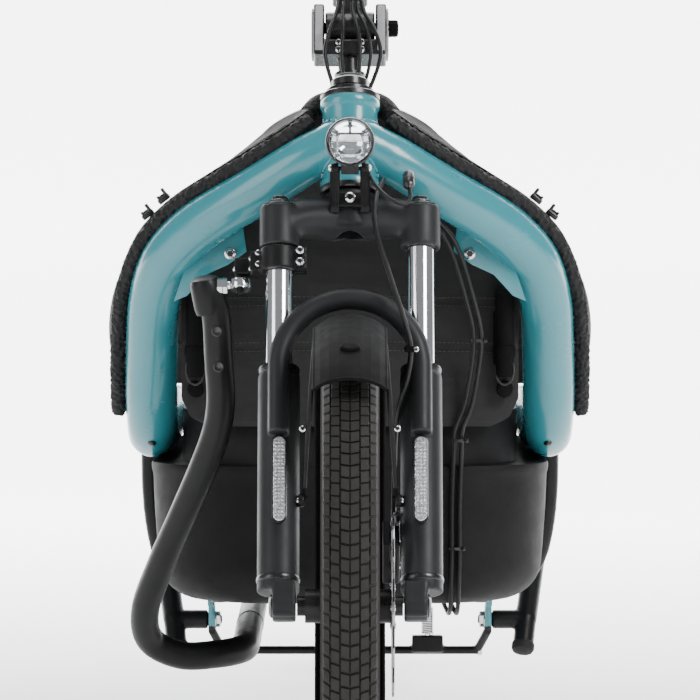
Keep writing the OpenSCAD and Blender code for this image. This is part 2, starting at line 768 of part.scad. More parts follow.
module rear_hub() {
    color("#222223") place() difference() {
        union() {
            translate(rear_axle) rod_x(0, 0, 0, 76, 60);
            for (x = [-28, 28]) translate(rear_axle) rod_x(x, 0, 0, 92, 4);
            translate(rear_axle) rod_x(0, 0, 0, 30, 134);
            translate(rear_axle) rod_x(-57, 0, 0, 64, 10);
            disc(rear_axle, 52, rear_disc_d);
        }
        translate(rear_axle) rod_x(0, 0, 0, 12.6, 150);
    }
}

// ---------------------------------------------------------------- steering gear

module steering_rod() {
    color("#151516") place() sweep(smooth(rod_route, 3), [rod_d / 2 - 0.5, rod_d / 2, rod_d / 2], 16);
}

// Forged head on the rod's front end with its threaded ball eye, and the rear ball eye
module rod_joint() {
    color("silver") place() {
        translate([-ball_x, fork_y + ball_t * sin(rake), fork_z + ball_t * cos(rake)])
            rotate([-rake, 0, 0]) {
                difference() {
                    union() {
                        translate([0, 0, -7]) cylinder(d = 22, h = 10);
                        translate([-28, 0, -2]) rotate([0, 90, 0]) cylinder(d = 9, h = 20);
                        translate([-24, 0, -2]) rotate([0, 90, 0]) cylinder(d = 16, h = 7, $fn = 6);
                    }
                    translate([0, 0, -15]) cylinder(d = 9, h = 26);
                }
            }
        translate([-ball_x, mast_y, mast_z]) rotate([-rake, 0, 0]) difference() {
            union() {
                translate([0, 0, -6]) cylinder(d = 24, h = 12);
                rotate([rake, 0, 0]) bar([0, -30, 0], [0, -8, 0], 14);
            }
            translate([0, 0, -15]) cylinder(d = 9, h = 30);
        }
    }
}

module steering_shaft() {
    color("#1b1b1c") in_mast() {
        translate([0, 0, -14]) cylinder(d = 28.6, h = 708);
        difference() {
            union() {
                translate([0, 0, -13]) cylinder(d = 42, h = 26);
                hull() {
                    translate([-14, 0, 8]) cylinder(d = 26, h = 8, $fn = 32);
                    translate([-ball_x, 0, 8]) cylinder(d = 20, h = 8, $fn = 32);
                }
            }
            translate([0, 0, -15]) cylinder(d = 28.6, h = 34);
        }
        translate([-ball_x, 0, -12]) cylinder(d = 8, h = 22);
        translate([0, 0, 651]) difference() {
            cylinder(d = 38, h = 9);
            translate([0, 0, -1]) cylinder(d = 28.6, h = 11);
        }
    }
}

// Clamp block on top of the shaft, whose two cheeks carry the handlebar's pivot
module stem_base() {
    color("#2a2a2b") in_mast() {
        difference() {
            union() {
                both_sides() translate([31, -22, 679]) cube([13, 46, 65]);
                translate([-44, -22, 679]) cube([88, 46, 19]);
            }
            translate([0, 0, 650]) cylinder(d = 28.6, h = 44.2);
            rod_x(0, 0, 720, 12, 100);
        }
        translate([44, 0, 720]) rotate([0, 90, 0]) cylinder(d = 18, h = 14);
        rod_x(0, 0, 720, 11.8, 88);
    }
}

module handlebar() {
    color("#1b1b1c") in_mast() {
        difference() {
            union() {
                rod_x(0, 0, 720, 40, 60);
                translate([-17, -16, 722]) cube([34, 32, 60]);
                translate([0, 0, 770]) cylinder(d = 30, h = 160);
                rod_x(0, 0, 940, 44, 48);
            }
            rod_x(0, 0, 720, 12.2, 80);
            rod_x(0, 0, 940, 33, 60);
        }
    }
    color("#1b1b1c") in_mast() sweep(smooth([
        [-bar_w / 2, 78, 920], [-210, 58, 938], [-120, 12, 944], [-60, 0, 940], [0, 0, 940],
        [60, 0, 940], [120, 12, 944], [210, 58, 938], [bar_w / 2, 78, 920]], 4),
        [11, 11, 11, 12, 15.8, 15.8, 15.8, 12, 11, 11, 11], 16);
}

module grips() {
    color("#141414") in_mast() both_sides() difference() {
        bar([214, 59, 937], [bar_w / 2 + 4, 79, 919.5], 33);
        bar([200, 56, 939], [bar_w / 2 - 3, 78, 920], 24.2);
    }
}

// Brake lever housings, display and bell on the handlebar
module bar_controls() {
    color("#202021") in_mast() {
        both_sides() {
            difference() {
                union() {
                    bar([176, 44, 942.5], [196, 53, 940.5], 36);
                    translate([178, 4, 934]) cube([18, 38, 14]);
                }
                bar([166, 39.6, 943.6], [206, 57.5, 939.4], 26);
                translate([177, 0, 938]) cube([40, 26, 6]);
            }
            translate([187, 14, 932]) cylinder(d = 5, h = 18);
            bar([176, 28, 941], [132, 4, 934], 17);
        }
        translate([-34, -20, 963]) rotate([30, 0, 0]) cube([68, 52, 12]);
        translate([-8, -10, 961]) cube([16, 22, 12]);
        translate([96, 4, 956]) cylinder(d = 40, h = 16);
        translate([92, -2, 950]) cube([8, 12, 8]);
    }
}

module brake_lever(side) {
    color("#2a2a2b") in_mast() mirror([side < 0 ? 1 : 0, 0, 0]) difference() {
        union() {
            translate([187, 14, 938.4]) cylinder(d = 12, h = 5.2);
            translate([187, 8.5, 938.4]) cube([62, 10, 5.2]);
            translate([246, 9, 936.8]) rotate([0, 0, 8]) cube([66, 9, 8.4]);
            translate([311, 22.5, 936.8]) cylinder(d = 12, h = 8.4);
        }
        translate([187, 14, 920]) cylinder(d = 5.2, h = 40);
    }
}

// ---------------------------------------------------------------- drive train and seat

module crank_set() {
    color("#1f1f20") place() {
        rod_x(0, crank_y, crank_z, 24, 176);
        for (side = [-1, 1]) difference() {
            hull() {
                translate([side * 87, crank_y, crank_z]) rotate([0, 90, 0])
                    cylinder(d = 34, h = 14, center = true, $fn = 32);
                translate([side * 87, crank_y - side * crank_l, crank_z]) rotate([0, 90, 0])
                    cylinder(d = 26, h = 14, center = true, $fn = 32);
            }
            rod_x(side * 87, crank_y - side * crank_l, crank_z, 14, 40);
            rod_x(side * 87, crank_y, crank_z, 24, 40);
        }
        difference() {
            rod_x(-57, crank_y, crank_z, 124, 10);
            rod_x(-57, crank_y, crank_z, 92, 20);
        }
        for (a = [0:72:288]) translate([-60, crank_y, crank_z]) rotate([a, 0, 0])
            translate([0, -7, 10]) cube([6, 14, 38]);
        rod_x(-57, crank_y, crank_z, 40, 10);
    }
}

module pedal(side) {
    centre = [side * 140, crank_y - side * crank_l, crank_z];
    color("#1c1c1d") place() translate(centre) {
        rod_x(-side * 24, 0, 0, 13.6, 76);
        difference() {
            translate([-42, -50, -12]) cube([84, 100, 24]);
            for (y = [-46, 10]) translate([-36, y, -13]) cube([72, 36, 26]);
        }
    }
}

module seat_post() {
    post_top = (saddle_z - 52 - crank_z) / cos(seat_angle);
    color("#1e1e1f") in_seat() {
        translate([0, 0, 200]) cylinder(d = 30.9, h = post_top - 206);
        translate([0, -4, post_top - 16]) cube([34, 42, 20], center = true);
        both_sides() bar([20, -78, post_top + 12], [20, 62, post_top - 26], 7);
        translate([0, -4, post_top - 3]) cube([50, 30, 10], center = true);
    }
}

// Outline of the saddle across the bicycle at a distance from its nose
function saddle_ring(s) =
    let (w = 22 + 64 * pow(max(0, s - 0.25) / 0.75, 1.3) * (s < 0.97 ? 1 : 0.86),
        h = 20 + 24 * s, y = -140 + 270 * s, top = -6 + 10 * s * s)
    [for (a = [0:22.5:337.5]) [w * cos(a), y, top + (sin(a) < 0 ? h : 14) * sin(a)]];

module saddle() {
    color("#19191a") place()
        translate([0, crank_y + (saddle_z - crank_z) * tan(seat_angle) + 8, saddle_z - 18])
        skin([for (s = [1, 0.96, 0.85, 0.7, 0.55, 0.4, 0.25, 0.12, 0.03, 0])
            saddle_ring(s)]);
}

// ---------------------------------------------------------------- stand

// Twin-leg stand, folded up and back beside the tub
module stand_legs() {
    color("#1d1d1e") place() both_sides() {
        difference() {
            rod_x(184, stand_y, stand_z, 22, 38);
            rod_x(184, stand_y, stand_z, 12.2, 60);
        }
        bar([204, stand_y, stand_z], [224, stand_y + 106, stand_z + 114], 25);
        bar([224, stand_y + 106, stand_z + 114], [227, stand_y + 122, stand_z + 131], 30);
        bar([204, stand_y, stand_z], [200, stand_y - 18, stand_z - 30], 24);
        translate([204, stand_y, stand_z]) sphere(d = 25);
        rod_x(165, stand_y, stand_z, 12, 34);
    }
}

front_head_tube();
frame_tube(1);  // frame_tube_left
frame_tube(-1);  // frame_tube_right
gusset_bolts();
steering_mast();
main_tube();
lower_tube();
seat_tube();
rear_stay(1);  // rear_stay_left
rear_stay(-1);  // rear_stay_right
stand_yoke();
motor();
battery();
cargo_tub();
floor_plate();
side_wall(1);  // side_wall_left
side_wall(-1);  // side_wall_right
front_panel();
rear_panel();
cover_fittings();
headset_cups();
rear_fender();
rear_light();
belt();
front_cables();
fork_crown();
stanchions();
steering_clamp();
lamp_bracket();
lamp_cable();
lamp_shell();
lamp_lens();
fork_lowers();
front_fender();
fork_reflectors();
front_caliper();
brake_hose();
tyre(axle, front_tyre_r);  // front_tyre
rim(axle, front_tyre_r);  // front_rim
spoke_set(axle, front_tyre_r, 25, 26);  // front_spokes
front_hub();
steering_rod();
rod_joint();
steering_shaft();
stem_base();
handlebar();
grips();
bar_controls();
brake_lever(1);  // brake_lever_left
brake_lever(-1);  // brake_lever_right
tyre(rear_axle, rear_tyre_r);  // rear_tyre
rim(rear_axle, rear_tyre_r);  // rear_rim
spoke_set(rear_axle, rear_tyre_r, 43, 28);  // rear_spokes
rear_hub();
crank_set();
pedal(1);  // pedal_left
pedal(-1);  // pedal_right
seat_post();
saddle();
stand_legs();
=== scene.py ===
import math
import bmesh
import bpy
from mathutils import Matrix, Vector, noise


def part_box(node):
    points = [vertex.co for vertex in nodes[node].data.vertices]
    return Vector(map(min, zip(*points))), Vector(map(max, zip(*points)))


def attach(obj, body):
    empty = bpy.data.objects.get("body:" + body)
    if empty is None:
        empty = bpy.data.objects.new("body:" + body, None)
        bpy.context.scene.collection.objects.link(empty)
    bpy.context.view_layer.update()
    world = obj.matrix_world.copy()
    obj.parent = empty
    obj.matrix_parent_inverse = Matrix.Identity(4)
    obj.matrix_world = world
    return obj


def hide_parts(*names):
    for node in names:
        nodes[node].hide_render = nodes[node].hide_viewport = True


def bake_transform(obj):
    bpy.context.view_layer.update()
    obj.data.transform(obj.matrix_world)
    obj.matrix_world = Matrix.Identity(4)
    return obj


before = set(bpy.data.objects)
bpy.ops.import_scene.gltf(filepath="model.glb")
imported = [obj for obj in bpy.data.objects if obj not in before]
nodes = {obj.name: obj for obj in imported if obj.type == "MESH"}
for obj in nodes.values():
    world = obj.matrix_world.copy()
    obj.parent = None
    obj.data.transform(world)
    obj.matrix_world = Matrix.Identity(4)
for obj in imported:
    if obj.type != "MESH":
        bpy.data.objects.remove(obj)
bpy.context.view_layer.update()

MM = 0.001

# All places below are in millimetres: (across, behind the front axle, above the ground)
BACK = 1079
RAKE = math.radians(20)
SEAT_ANGLE = math.radians(18)
FORK_FOOT = (0, 32.889, 252.03)
MAST_FOOT = (0, 970, 185)
CRANK = (0, 1620, 290)
FRONT_R, REAR_R = 264, 335
AXLE = (0, 0, FRONT_R)
REAR = (0, 2070, REAR_R)
SIDES = ((1, "left"), (-1, "right"))
X, Y, Z = (1, 0, 0), (0, 1, 0), (0, 0, 1)
FRONT = (0, -1, 0)


def turned(origin, angle=0.0):
    """Matrix from millimetres in a tilted local frame to the row frame."""
    x, d, z = origin
    place = Matrix.Translation((x * MM, (d - BACK) * MM, z * MM))
    return place @ Matrix.Rotation(-angle, 4, "X") @ Matrix.Scale(MM, 4)


BIKE = turned((0, 0, 0))
FORK = turned(FORK_FOOT, RAKE)
MAST = turned(MAST_FOOT, RAKE)
SEAT = turned(CRANK, SEAT_ANGLE)
LAMP = turned((0, 84, 727))


def angles(count):
    """Equal steps round a full turn."""
    return [2 * math.pi * k / count for k in range(count)]


def ring_at(x, d, z, r, deep=None, count=36):
    """Level ring of points; deep is its half size front to back, where that differs."""
    return [Vector((x + r * math.cos(t), d + (deep or r) * math.sin(t), z))
            for t in angles(count)]


def round_axle(centre, x, r, a):
    """Point x across, at radius r and angle a from the top of a wheel or the crank."""
    return Vector((x, centre[1] + r * math.sin(a), centre[2] + r * math.cos(a)))


def knurl(depth, count):
    """Lathe shape with shallow ribs round the outline."""
    return lambda t, h: 1 + depth * math.cos(t * count)


# ------------------------------------------------------------------ materials

class Nodes:
    """Small helper that adds and links shader nodes."""

    def __init__(self, mat):
        self.tree = mat.node_tree
        self.shader = self.tree.nodes["Principled BSDF"]
        self.coord = self.tree.nodes.new("ShaderNodeTexCoord").outputs["Object"]

    def add(self, kind, inputs=None, **values):
        node = self.tree.nodes.new("ShaderNode" + kind)
        for key, value in values.items():
            setattr(node, key, value)
        for key, value in (inputs or {}).items():
            if isinstance(value, bpy.types.NodeSocket):
                self.tree.links.new(value, node.inputs[key])
            else:
                node.inputs[key].default_value = value
        return node

    def link(self, output, name):
        self.tree.links.new(output, self.shader.inputs[name])

    def noise(self, scale, detail=4.0, rough=0.6):
        inputs = {"Vector": self.coord, "Scale": scale, "Detail": detail, "Roughness": rough}
        return self.add("TexNoise", inputs).outputs["Fac"]

    def ramp(self, fac, stops):
        ramp = self.add("ValToRGB", {"Fac": fac})
        while len(ramp.color_ramp.elements) < len(stops):
            ramp.color_ramp.elements.new(0.5)
        for element, (at, colour) in zip(ramp.color_ramp.elements, stops):
            element.position = at
            element.color = (*colour, 1)
        return ramp.outputs["Color"]

    def math(self, operation, a, b):
        return self.add("Math", {0: a, 1: b}, operation=operation).outputs[0]

    def height(self, kind, scale):
        if kind == "noise":
            return self.noise(scale, 3.0, 0.55)
        if kind == "beads":
            cells = self.add("TexVoronoi", {"Vector": self.coord, "Scale": scale})
            return self.math("SUBTRACT", 1.0, cells.outputs["Distance"])
        if kind == "weave":
            waves = []
            for direction in ("X", "Y", "Z"):
                wave = self.add("TexWave", {"Vector": self.coord, "Scale": scale},
                                bands_direction=direction)
                waves.append(wave.outputs["Fac"])
            return self.math("MULTIPLY", self.math("MAXIMUM", waves[0], waves[1]), waves[2])
        if kind == "brushed":
            stretch = self.add("Mapping", {"Vector": self.coord, "Scale": (0.03, 1, 1)})
            streaks = {"Vector": stretch.outputs["Vector"], "Scale": scale, "Detail": 2.0}
            return self.add("TexNoise", streaks).outputs["Fac"]
        if kind == "prisms":
            turned45 = self.add("Mapping", {"Vector": self.coord, "Rotation": (0.0, 0.785, 0.0)})
            cells = self.add("TexVoronoi", {"Vector": turned45.outputs["Vector"], "Scale": scale},
                             distance="CHEBYCHEV")
            return cells.outputs["Distance"]
        raise ValueError(kind)


def material(name, base, rough, spread=0.12, patch=22.0, rough_spread=0.08, bumps=(),
             wear_and_glints=None, **shader):
    """Procedural surface: mottled colour, uneven gloss, layered relief and pale spots, which are
    wear on most surfaces and painted glints on the clear reflector.
    """
    mat = bpy.data.materials.new(name)
    mat.use_nodes = True
    n = Nodes(mat)
    low = [c * (1 - spread) for c in base]
    high = [min(1.0, c * (1 + spread)) for c in base]
    colour = n.ramp(n.noise(patch), [(0.3, low), (0.7, high)])
    # Pale spots mixed into the colour: wear on most materials, painted glints on the clear
    # reflector.
    if wear_and_glints:
        paler, scale, amount = wear_and_glints
        spots = n.ramp(n.noise(scale, 8.0, 0.7), [(1 - amount, (0, 0, 0)), (1.0, (1, 1, 1))])
        mix = n.add("Mix", {0: spots, 6: colour, 7: (*paler, 1)}, data_type="RGBA")
        colour = mix.outputs[2]
    n.link(colour, "Base Color")
    gloss = n.add("MapRange", {0: n.noise(patch * 3.1, 5.0), 1: 0.25, 2: 0.75,
                               3: max(0.02, rough - rough_spread), 4: rough + rough_spread})
    n.link(gloss.outputs[0], "Roughness")
    normal = None
    for kind, scale, depth in bumps:
        inputs = {"Height": n.height(kind, scale), "Distance": depth * MM, "Strength": 1.0}
        if normal:
            inputs["Normal"] = normal
        normal = n.add("Bump", inputs).outputs["Normal"]
    if normal:
        n.link(normal, "Normal")
    if max(base) < 0.04 and "Coat_Weight" not in shader:
        shader.setdefault("Specular_IOR_Level", 0.28)
    for key, value in shader.items():
        n.shader.inputs[key.replace("_", " ")].default_value = value
    return mat


TEAL = material("teal_gloss", (0.026, 0.2, 0.235), 0.26, 0.05, 6, 0.03,
                [("noise", 260, 0.02), ("noise", 30, 0.05)],
                wear_and_glints=((0.045, 0.25, 0.288), 90, 0.22),
                Coat_Weight=0.45, Coat_Roughness=0.1)
CHROME = material("chrome", (0.8, 0.81, 0.83), 0.09, 0.05, 40, 0.04,
                  [("noise", 500, 0.004)], Metallic=1.0)
STEEL = material("brushed_steel", (0.34, 0.34, 0.35), 0.3, 0.12, 60, 0.08,
                 [("brushed", 900, 0.03)], Metallic=1.0)
BOLT = material("bolt_steel", (0.62, 0.62, 0.63), 0.22, 0.12, 120, 0.08,
                [("noise", 900, 0.02)], Metallic=1.0)
ALLOY = material("plate_alloy", (0.36, 0.37, 0.38), 0.42, 0.12, 30, 0.1,
                 [("brushed", 500, 0.05), ("noise", 60, 0.1)], Metallic=1.0)
FORK_DARK = material("fork_matt", (0.0121, 0.0127, 0.0138), 0.47, 0.16, 14, 0.07,
                     [("noise", 700, 0.03), ("noise", 45, 0.08)],
                     wear_and_glints=((0.03, 0.03, 0.0312), 70, 0.26))
BLACK_METAL = material("black_metal", (0.0077, 0.0077, 0.0083), 0.38, 0.18, 30, 0.08,
                       [("noise", 800, 0.025)], wear_and_glints=((0.018, 0.018, 0.018), 90, 0.24),
                       Specular_IOR_Level=0.17)
SATIN_BLACK = material("satin_black", (0.0066, 0.0066, 0.0072), 0.3, 0.2, 40, 0.07,
                       [("noise", 500, 0.015)], Coat_Weight=0.15)
RIM_BLACK = material("rim_black", (0.0083, 0.0083, 0.0088), 0.33, 0.2, 50, 0.08,
                     [("brushed", 600, 0.02)], wear_and_glints=((0.048, 0.048, 0.048), 120, 0.2))
FENDER = material("fender_plastic", (0.0055, 0.0055, 0.0058), 0.66, 0.2, 26, 0.08,
                  [("noise", 1500, 0.02), ("noise", 60, 0.06)],
                  wear_and_glints=((0.011, 0.0107, 0.0102), 50, 0.26), Specular_IOR_Level=0.04)
TUB = material("tub_plastic", (0.0078, 0.0078, 0.0083), 0.6, 0.22, 12, 0.08,
               [("beads", 650, 0.10), ("noise", 28, 0.25)],
               wear_and_glints=((0.017, 0.0166, 0.016), 35, 0.3), Specular_IOR_Level=0.14)
FOAM = material("foam_skin", (0.019, 0.0168, 0.0158), 0.82, 0.22, 30, 0.08,
                [("beads", 300, 0.6), ("noise", 900, 0.25), ("noise", 18, 0.5)],
                wear_and_glints=((0.05, 0.0445, 0.041), 240, 0.4))
FOAM_RIM = material("foam_rim", (0.0078, 0.0078, 0.0084), 0.66, 0.35, 160, 0.12,
                    [("beads", 190, 1.6), ("noise", 600, 0.6)],
                    wear_and_glints=((0.07, 0.064, 0.06), 300, 0.34))
FABRIC = material("panel_fabric", (0.0105, 0.0099, 0.0099), 0.86, 0.2, 24, 0.06,
                  [("weave", 340, 0.25), ("noise", 9, 1.2)],
                  wear_and_glints=((0.024, 0.0222, 0.0216), 300, 0.36), Sheen_Weight=0.35,
                  Sheen_Roughness=0.5)
WEBBING = material("webbing", (0.0088, 0.0088, 0.0094), 0.8, 0.2, 60, 0.06,
                   [("weave", 700, 0.3)], Sheen_Weight=0.3)
THREAD = material("thread", (0.045, 0.043, 0.042), 0.7, 0.2, 90, 0.08, [("weave", 1800, 0.1)])
CABLE = material("cable_sheath", (0.0066, 0.0066, 0.0069), 0.42, 0.2, 60, 0.1,
                 [("noise", 900, 0.03)], wear_and_glints=((0.03, 0.03, 0.03), 150, 0.22))
RUBBER = material("tyre_rubber", (0.0158, 0.0147, 0.0138), 0.74, 0.2, 30, 0.08,
                  [("noise", 900, 0.06), ("noise", 90, 0.1)],
                  wear_and_glints=((0.045, 0.042, 0.039), 60, 0.36))
GRIP = material("grip_rubber", (0.0083, 0.0083, 0.0083), 0.72, 0.2, 50, 0.08,
                [("beads", 900, 0.12)], wear_and_glints=((0.03, 0.03, 0.0288), 120, 0.28))
LEATHER = material("saddle_cover", (0.0094, 0.0091, 0.0094), 0.5, 0.2, 24, 0.1,
                   [("beads", 520, 0.09), ("noise", 14, 0.5)],
                   wear_and_glints=((0.03, 0.027, 0.0252), 40, 0.3), Sheen_Weight=0.1)
DRIVE = material("drive_plastic", (0.0121, 0.0121, 0.0132), 0.4, 0.2, 18, 0.09,
                 [("noise", 1200, 0.02), ("noise", 35, 0.07)],
                 wear_and_glints=((0.03, 0.03, 0.03), 60, 0.24))
LAMP_BLACK = material("lamp_black", (0.0055, 0.0055, 0.006), 0.2, 0.2, 60, 0.06,
                      [("noise", 400, 0.01)], Coat_Weight=0.5)
MIRROR = material("lamp_reflector", (0.88, 0.89, 0.91), 0.06, 0.03, 50, 0.03,
                  [("noise", 300, 0.01)], Metallic=1.0)
# Pale grey for small buttons and markers; on the stem's cheeks and strips the same grey is
# painted sheen.
GREY_PAD_AND_PAINTED_SHEEN = material("grey_pad_and_painted_sheen", (0.3, 0.3, 0.31), 0.6, 0.12, 80, 0.08,
                    [("beads", 900, 0.12)])
RED = material("red_lens", (0.42, 0.012, 0.012), 0.14, 0.12, 60, 0.05,
               [("prisms", 420, 0.5)], Coat_Weight=0.6)
AMBER = material("amber_lens", (0.75, 0.24, 0.02), 0.16, 0.1, 60, 0.05, [("prisms", 420, 0.5)],
                 Coat_Weight=0.6)
# Clear reflector: its near-white spots are painted glints of the prisms.
PRISM = material("clear_prisms", (0.5, 0.51, 0.53), 0.12, 0.35, 330, 0.06,
                 [("prisms", 300, 1.2)], wear_and_glints=((0.95, 0.96, 0.98), 260, 0.45),
                 Metallic=0.55, Coat_Weight=0.8)
GLASS = material("lamp_glass", (0.96, 0.98, 1.0), 0.04, 0.02, 60, 0.02,
                 [("noise", 60, 0.02)], Transmission_Weight=1.0, IOR=1.45)
SCREEN = material("screen_glass", (0.0066, 0.0077, 0.0094), 0.08, 0.2, 40, 0.03,
                  [("noise", 120, 0.004)], Coat_Weight=1.0)
LED = material("led_bar", (0.95, 0.97, 1.0), 0.3, 0.04, 200, 0.05, [("noise", 500, 0.02)],
               Emission_Color=(0.92, 0.96, 1.0, 1.0), Emission_Strength=5.0)


# ------------------------------------------------------------------ geometry

def smooth(route, steps):
    """Catmull-Rom curve through every point of a route."""
    pts = [Vector(p) for p in route]
    out = []
    for i in range(len(pts) - 1):
        a, b = pts[max(i - 1, 0)], pts[i]
        c, d = pts[i + 1], pts[min(i + 2, len(pts) - 1)]
        for k in range(steps):
            s = k / steps
            out.append(0.5 * (2 * b + (c - a) * s + (2 * a - 5 * b + 4 * c - d) * s * s
                              + (3 * b - a - 3 * c + d) * s ** 3))
    return out + [pts[-1]]


def along(values, s):
    f = s * (len(values) - 1)
    i = min(int(f), len(values) - 2)
    return values[i] + (values[i + 1] - values[i]) * (f - i)


def frames(path):
    """Tangent and two sideways directions at each point, without twist."""
    out = []
    side = None
    for i, p in enumerate(path):
        t = (path[min(i + 1, len(path) - 1)] - path[max(i - 1, 0)]).normalized()
        if side is None:
            side = Vector(X) if abs(t.z) > 0.9 else Vector(Z)
        side = (side - side.dot(t) * t).normalized()
        out.append((t, side, t.cross(side)))
    return out


class Piece:
    """A mesh that grows from parts given in millimetres in a local frame."""

    def __init__(self, at=BIKE):
        self.bm = bmesh.new()
        self.at = at
        self.paint = 0

    def add(self, verts, faces):
        made = [self.bm.verts.new(self.at @ Vector(v)) for v in verts]
        for face in faces:
            f = self.bm.faces.new([made[i] for i in face])
            f.material_index = self.paint
            f.smooth = True

    def skin(self, rings, loop=False, caps=True):
        """Surface through rings that all have the same number of points."""
        n = len(rings[0])
        m = len(rings)
        verts = [p for ring in rings for p in ring]
        faces = []
        for i in range(m if loop else m - 1):
            for j in range(n):
                a, b = i * n + j, i * n + (j + 1) % n
                c, d = ((i + 1) % m) * n + (j + 1) % n, ((i + 1) % m) * n + j
                faces.append((a, d, c, b))
        if caps and not loop:
            faces.append(tuple(range(n)))
            faces.append(tuple(range((m - 1) * n, m * n))[::-1])
        self.add(verts, faces)

    def tube(self, path, radii, sides=16):
        """Round tube along a path; radii are spread evenly over it."""
        path = [Vector(p) for p in path]
        if not hasattr(radii, "__len__"):
            radii = [radii, radii]
        rings = []
        for i, (p, (_, a, b)) in enumerate(zip(path, frames(path))):
            r = along(radii, i / (len(path) - 1))
            rings.append([p + r * (math.cos(t) * a + math.sin(t) * b)
                          for t in angles(sides)])
        self.skin(rings)

    def lathe(self, profile, origin=(0, 0, 0), axis=Z, sides=40, loop=False,
              shape=None):
        """Turns (radius, height) pairs about an axis; shape(angle, height) scales the radius."""
        origin, axis = Vector(origin), Vector(axis).normalized()
        side = Vector(X) if abs(axis.x) < 0.9 else Vector(Z)
        side = (side - side.dot(axis) * axis).normalized()
        other = axis.cross(side)
        rings = []
        for r, h in profile:
            ring = []
            for t in angles(sides):
                k = shape(t, h) if shape else 1.0
                ring.append(origin + axis * h
                            + max(r, 0.01) * k * (math.cos(t) * side + math.sin(t) * other))
            rings.append(ring)
        self.skin(rings, loop=loop)

    def block(self, centre, size, bevel=1.0, spin=None):
        """A bar or plate with rounded edges."""
        made = bmesh.new()
        bmesh.ops.create_cube(made, size=1.0)
        bmesh.ops.scale(made, vec=size, verts=made.verts)
        bmesh.ops.bevel(made, geom=made.edges[:], offset=bevel, segments=3, profile=0.5,
                        affect="EDGES", clamp_overlap=True)
        local = Matrix.Translation(centre) @ (spin or Matrix.Identity(4))
        made.verts.ensure_lookup_table()
        made.verts.index_update()
        self.add([local @ v.co for v in made.verts],
                 [[v.index for v in f.verts] for f in made.faces])
        made.free()

    def bolt(self, foot, axis, d, height, hex_head=False):
        """Screw head with a socket in the next material, or a hexagon head."""
        r = d / 2

        def hexagon(t, h):
            step = math.pi / 3
            return math.cos(step / 2) / math.cos((t % step) - step / 2)

        if hex_head:
            self.lathe([(r * 1.25, 0), (r * 1.25, height * 0.12)], foot, axis, 24)
            self.lathe([(r, 0), (r * 1.08, height * 0.15), (r * 1.08, height * 0.8),
                        (r * 0.95, height), (r * 0.3, height)], foot, axis, 24, shape=hexagon)
            return
        top = height * 0.72
        self.lathe([(r, 0), (r, top * 0.7), (r * 0.94, top * 0.9), (r * 0.8, top),
                    (r * 0.56, height)], foot, axis, 24)
        self.paint += 1
        self.lathe([(r * 0.56, height * 1.01), (r * 0.5, height * 1.02), (r * 0.46, height * 0.5),
                    (r * 0.02, height * 0.45)], foot, axis, 24, shape=hexagon)
        self.paint -= 1

    def stitch(self, a, b, rise):
        self.tube([a, a.lerp(b, 0.5) + Vector((0, 0, rise)), b], [0.3, 0.6, 0.3], 6)

    def done(self, name, body, slot, mats, replaces=(), sharp=38, bevel=0.0):
        """Makes the object, gives it its materials, and lets it ride on its body."""
        bmesh.ops.recalc_face_normals(self.bm, faces=self.bm.faces[:])
        mesh = bpy.data.meshes.new(name)
        self.bm.to_mesh(mesh)
        self.bm.free()
        return finished(mesh, name, body, mats, replaces, sharp, bevel)


def linked(name, data):
    obj = bpy.data.objects.new(name, data)
    bpy.context.scene.collection.objects.link(obj)
    return obj


def listed(mats):
    return mats if isinstance(mats, (list, tuple)) else [mats]


def shade_smooth(obj):
    for poly in obj.data.polygons:
        poly.use_smooth = True


def finished(mesh, name, body, mats, replaces=(), sharp=38, bevel=0.0):
    obj = linked(name, mesh)
    for mat in listed(mats):
        mesh.materials.append(mat)
    if bevel:
        mod = obj.modifiers.new("edge", "BEVEL")
        mod.width = bevel * MM
        mod.segments = 3
        mod.limit_method = "ANGLE"
        mod.angle_limit = math.radians(50)
        apply(obj)
    obj.data.set_sharp_from_angle(angle=math.radians(sharp))
    shade_smooth(obj)
    if body:
        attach(obj, body)
    if replaces:
        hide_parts(*replaces)
    return obj


def apply(obj):
    """Turns an object's modifiers into its mesh."""
    graph = bpy.context.evaluated_depsgraph_get()
    mesh = bpy.data.meshes.new_from_object(obj.evaluated_get(graph))
    obj.modifiers.clear()
    obj.data = mesh


def bored(obj, origin, axis, r):
    """Cuts a long round hole, so that a tube ends inside the wall of the post it meets."""
    tool_mesh = bpy.data.meshes.new("tool")
    bm = bmesh.new()
    bmesh.ops.create_cone(bm, cap_ends=True, segments=72, radius1=r * MM, radius2=r * MM,
                          depth=3.0)
    bm.to_mesh(tool_mesh)
    bm.free()
    tool = linked("tool", tool_mesh)
    tool.matrix_world = (Matrix.Translation((BIKE @ origin))
                         @ axis.to_track_quat("Z", "Y").to_matrix().to_4x4())
    mod = obj.modifiers.new("bore", "BOOLEAN")
    mod.operation = "DIFFERENCE"
    mod.solver = "EXACT"
    mod.object = tool
    apply(obj)
    bpy.data.objects.remove(tool)
    bpy.data.meshes.remove(tool_mesh)


def middle(low, high):
    return Vector([(a + b) / 2 for a, b in zip(low, high)])


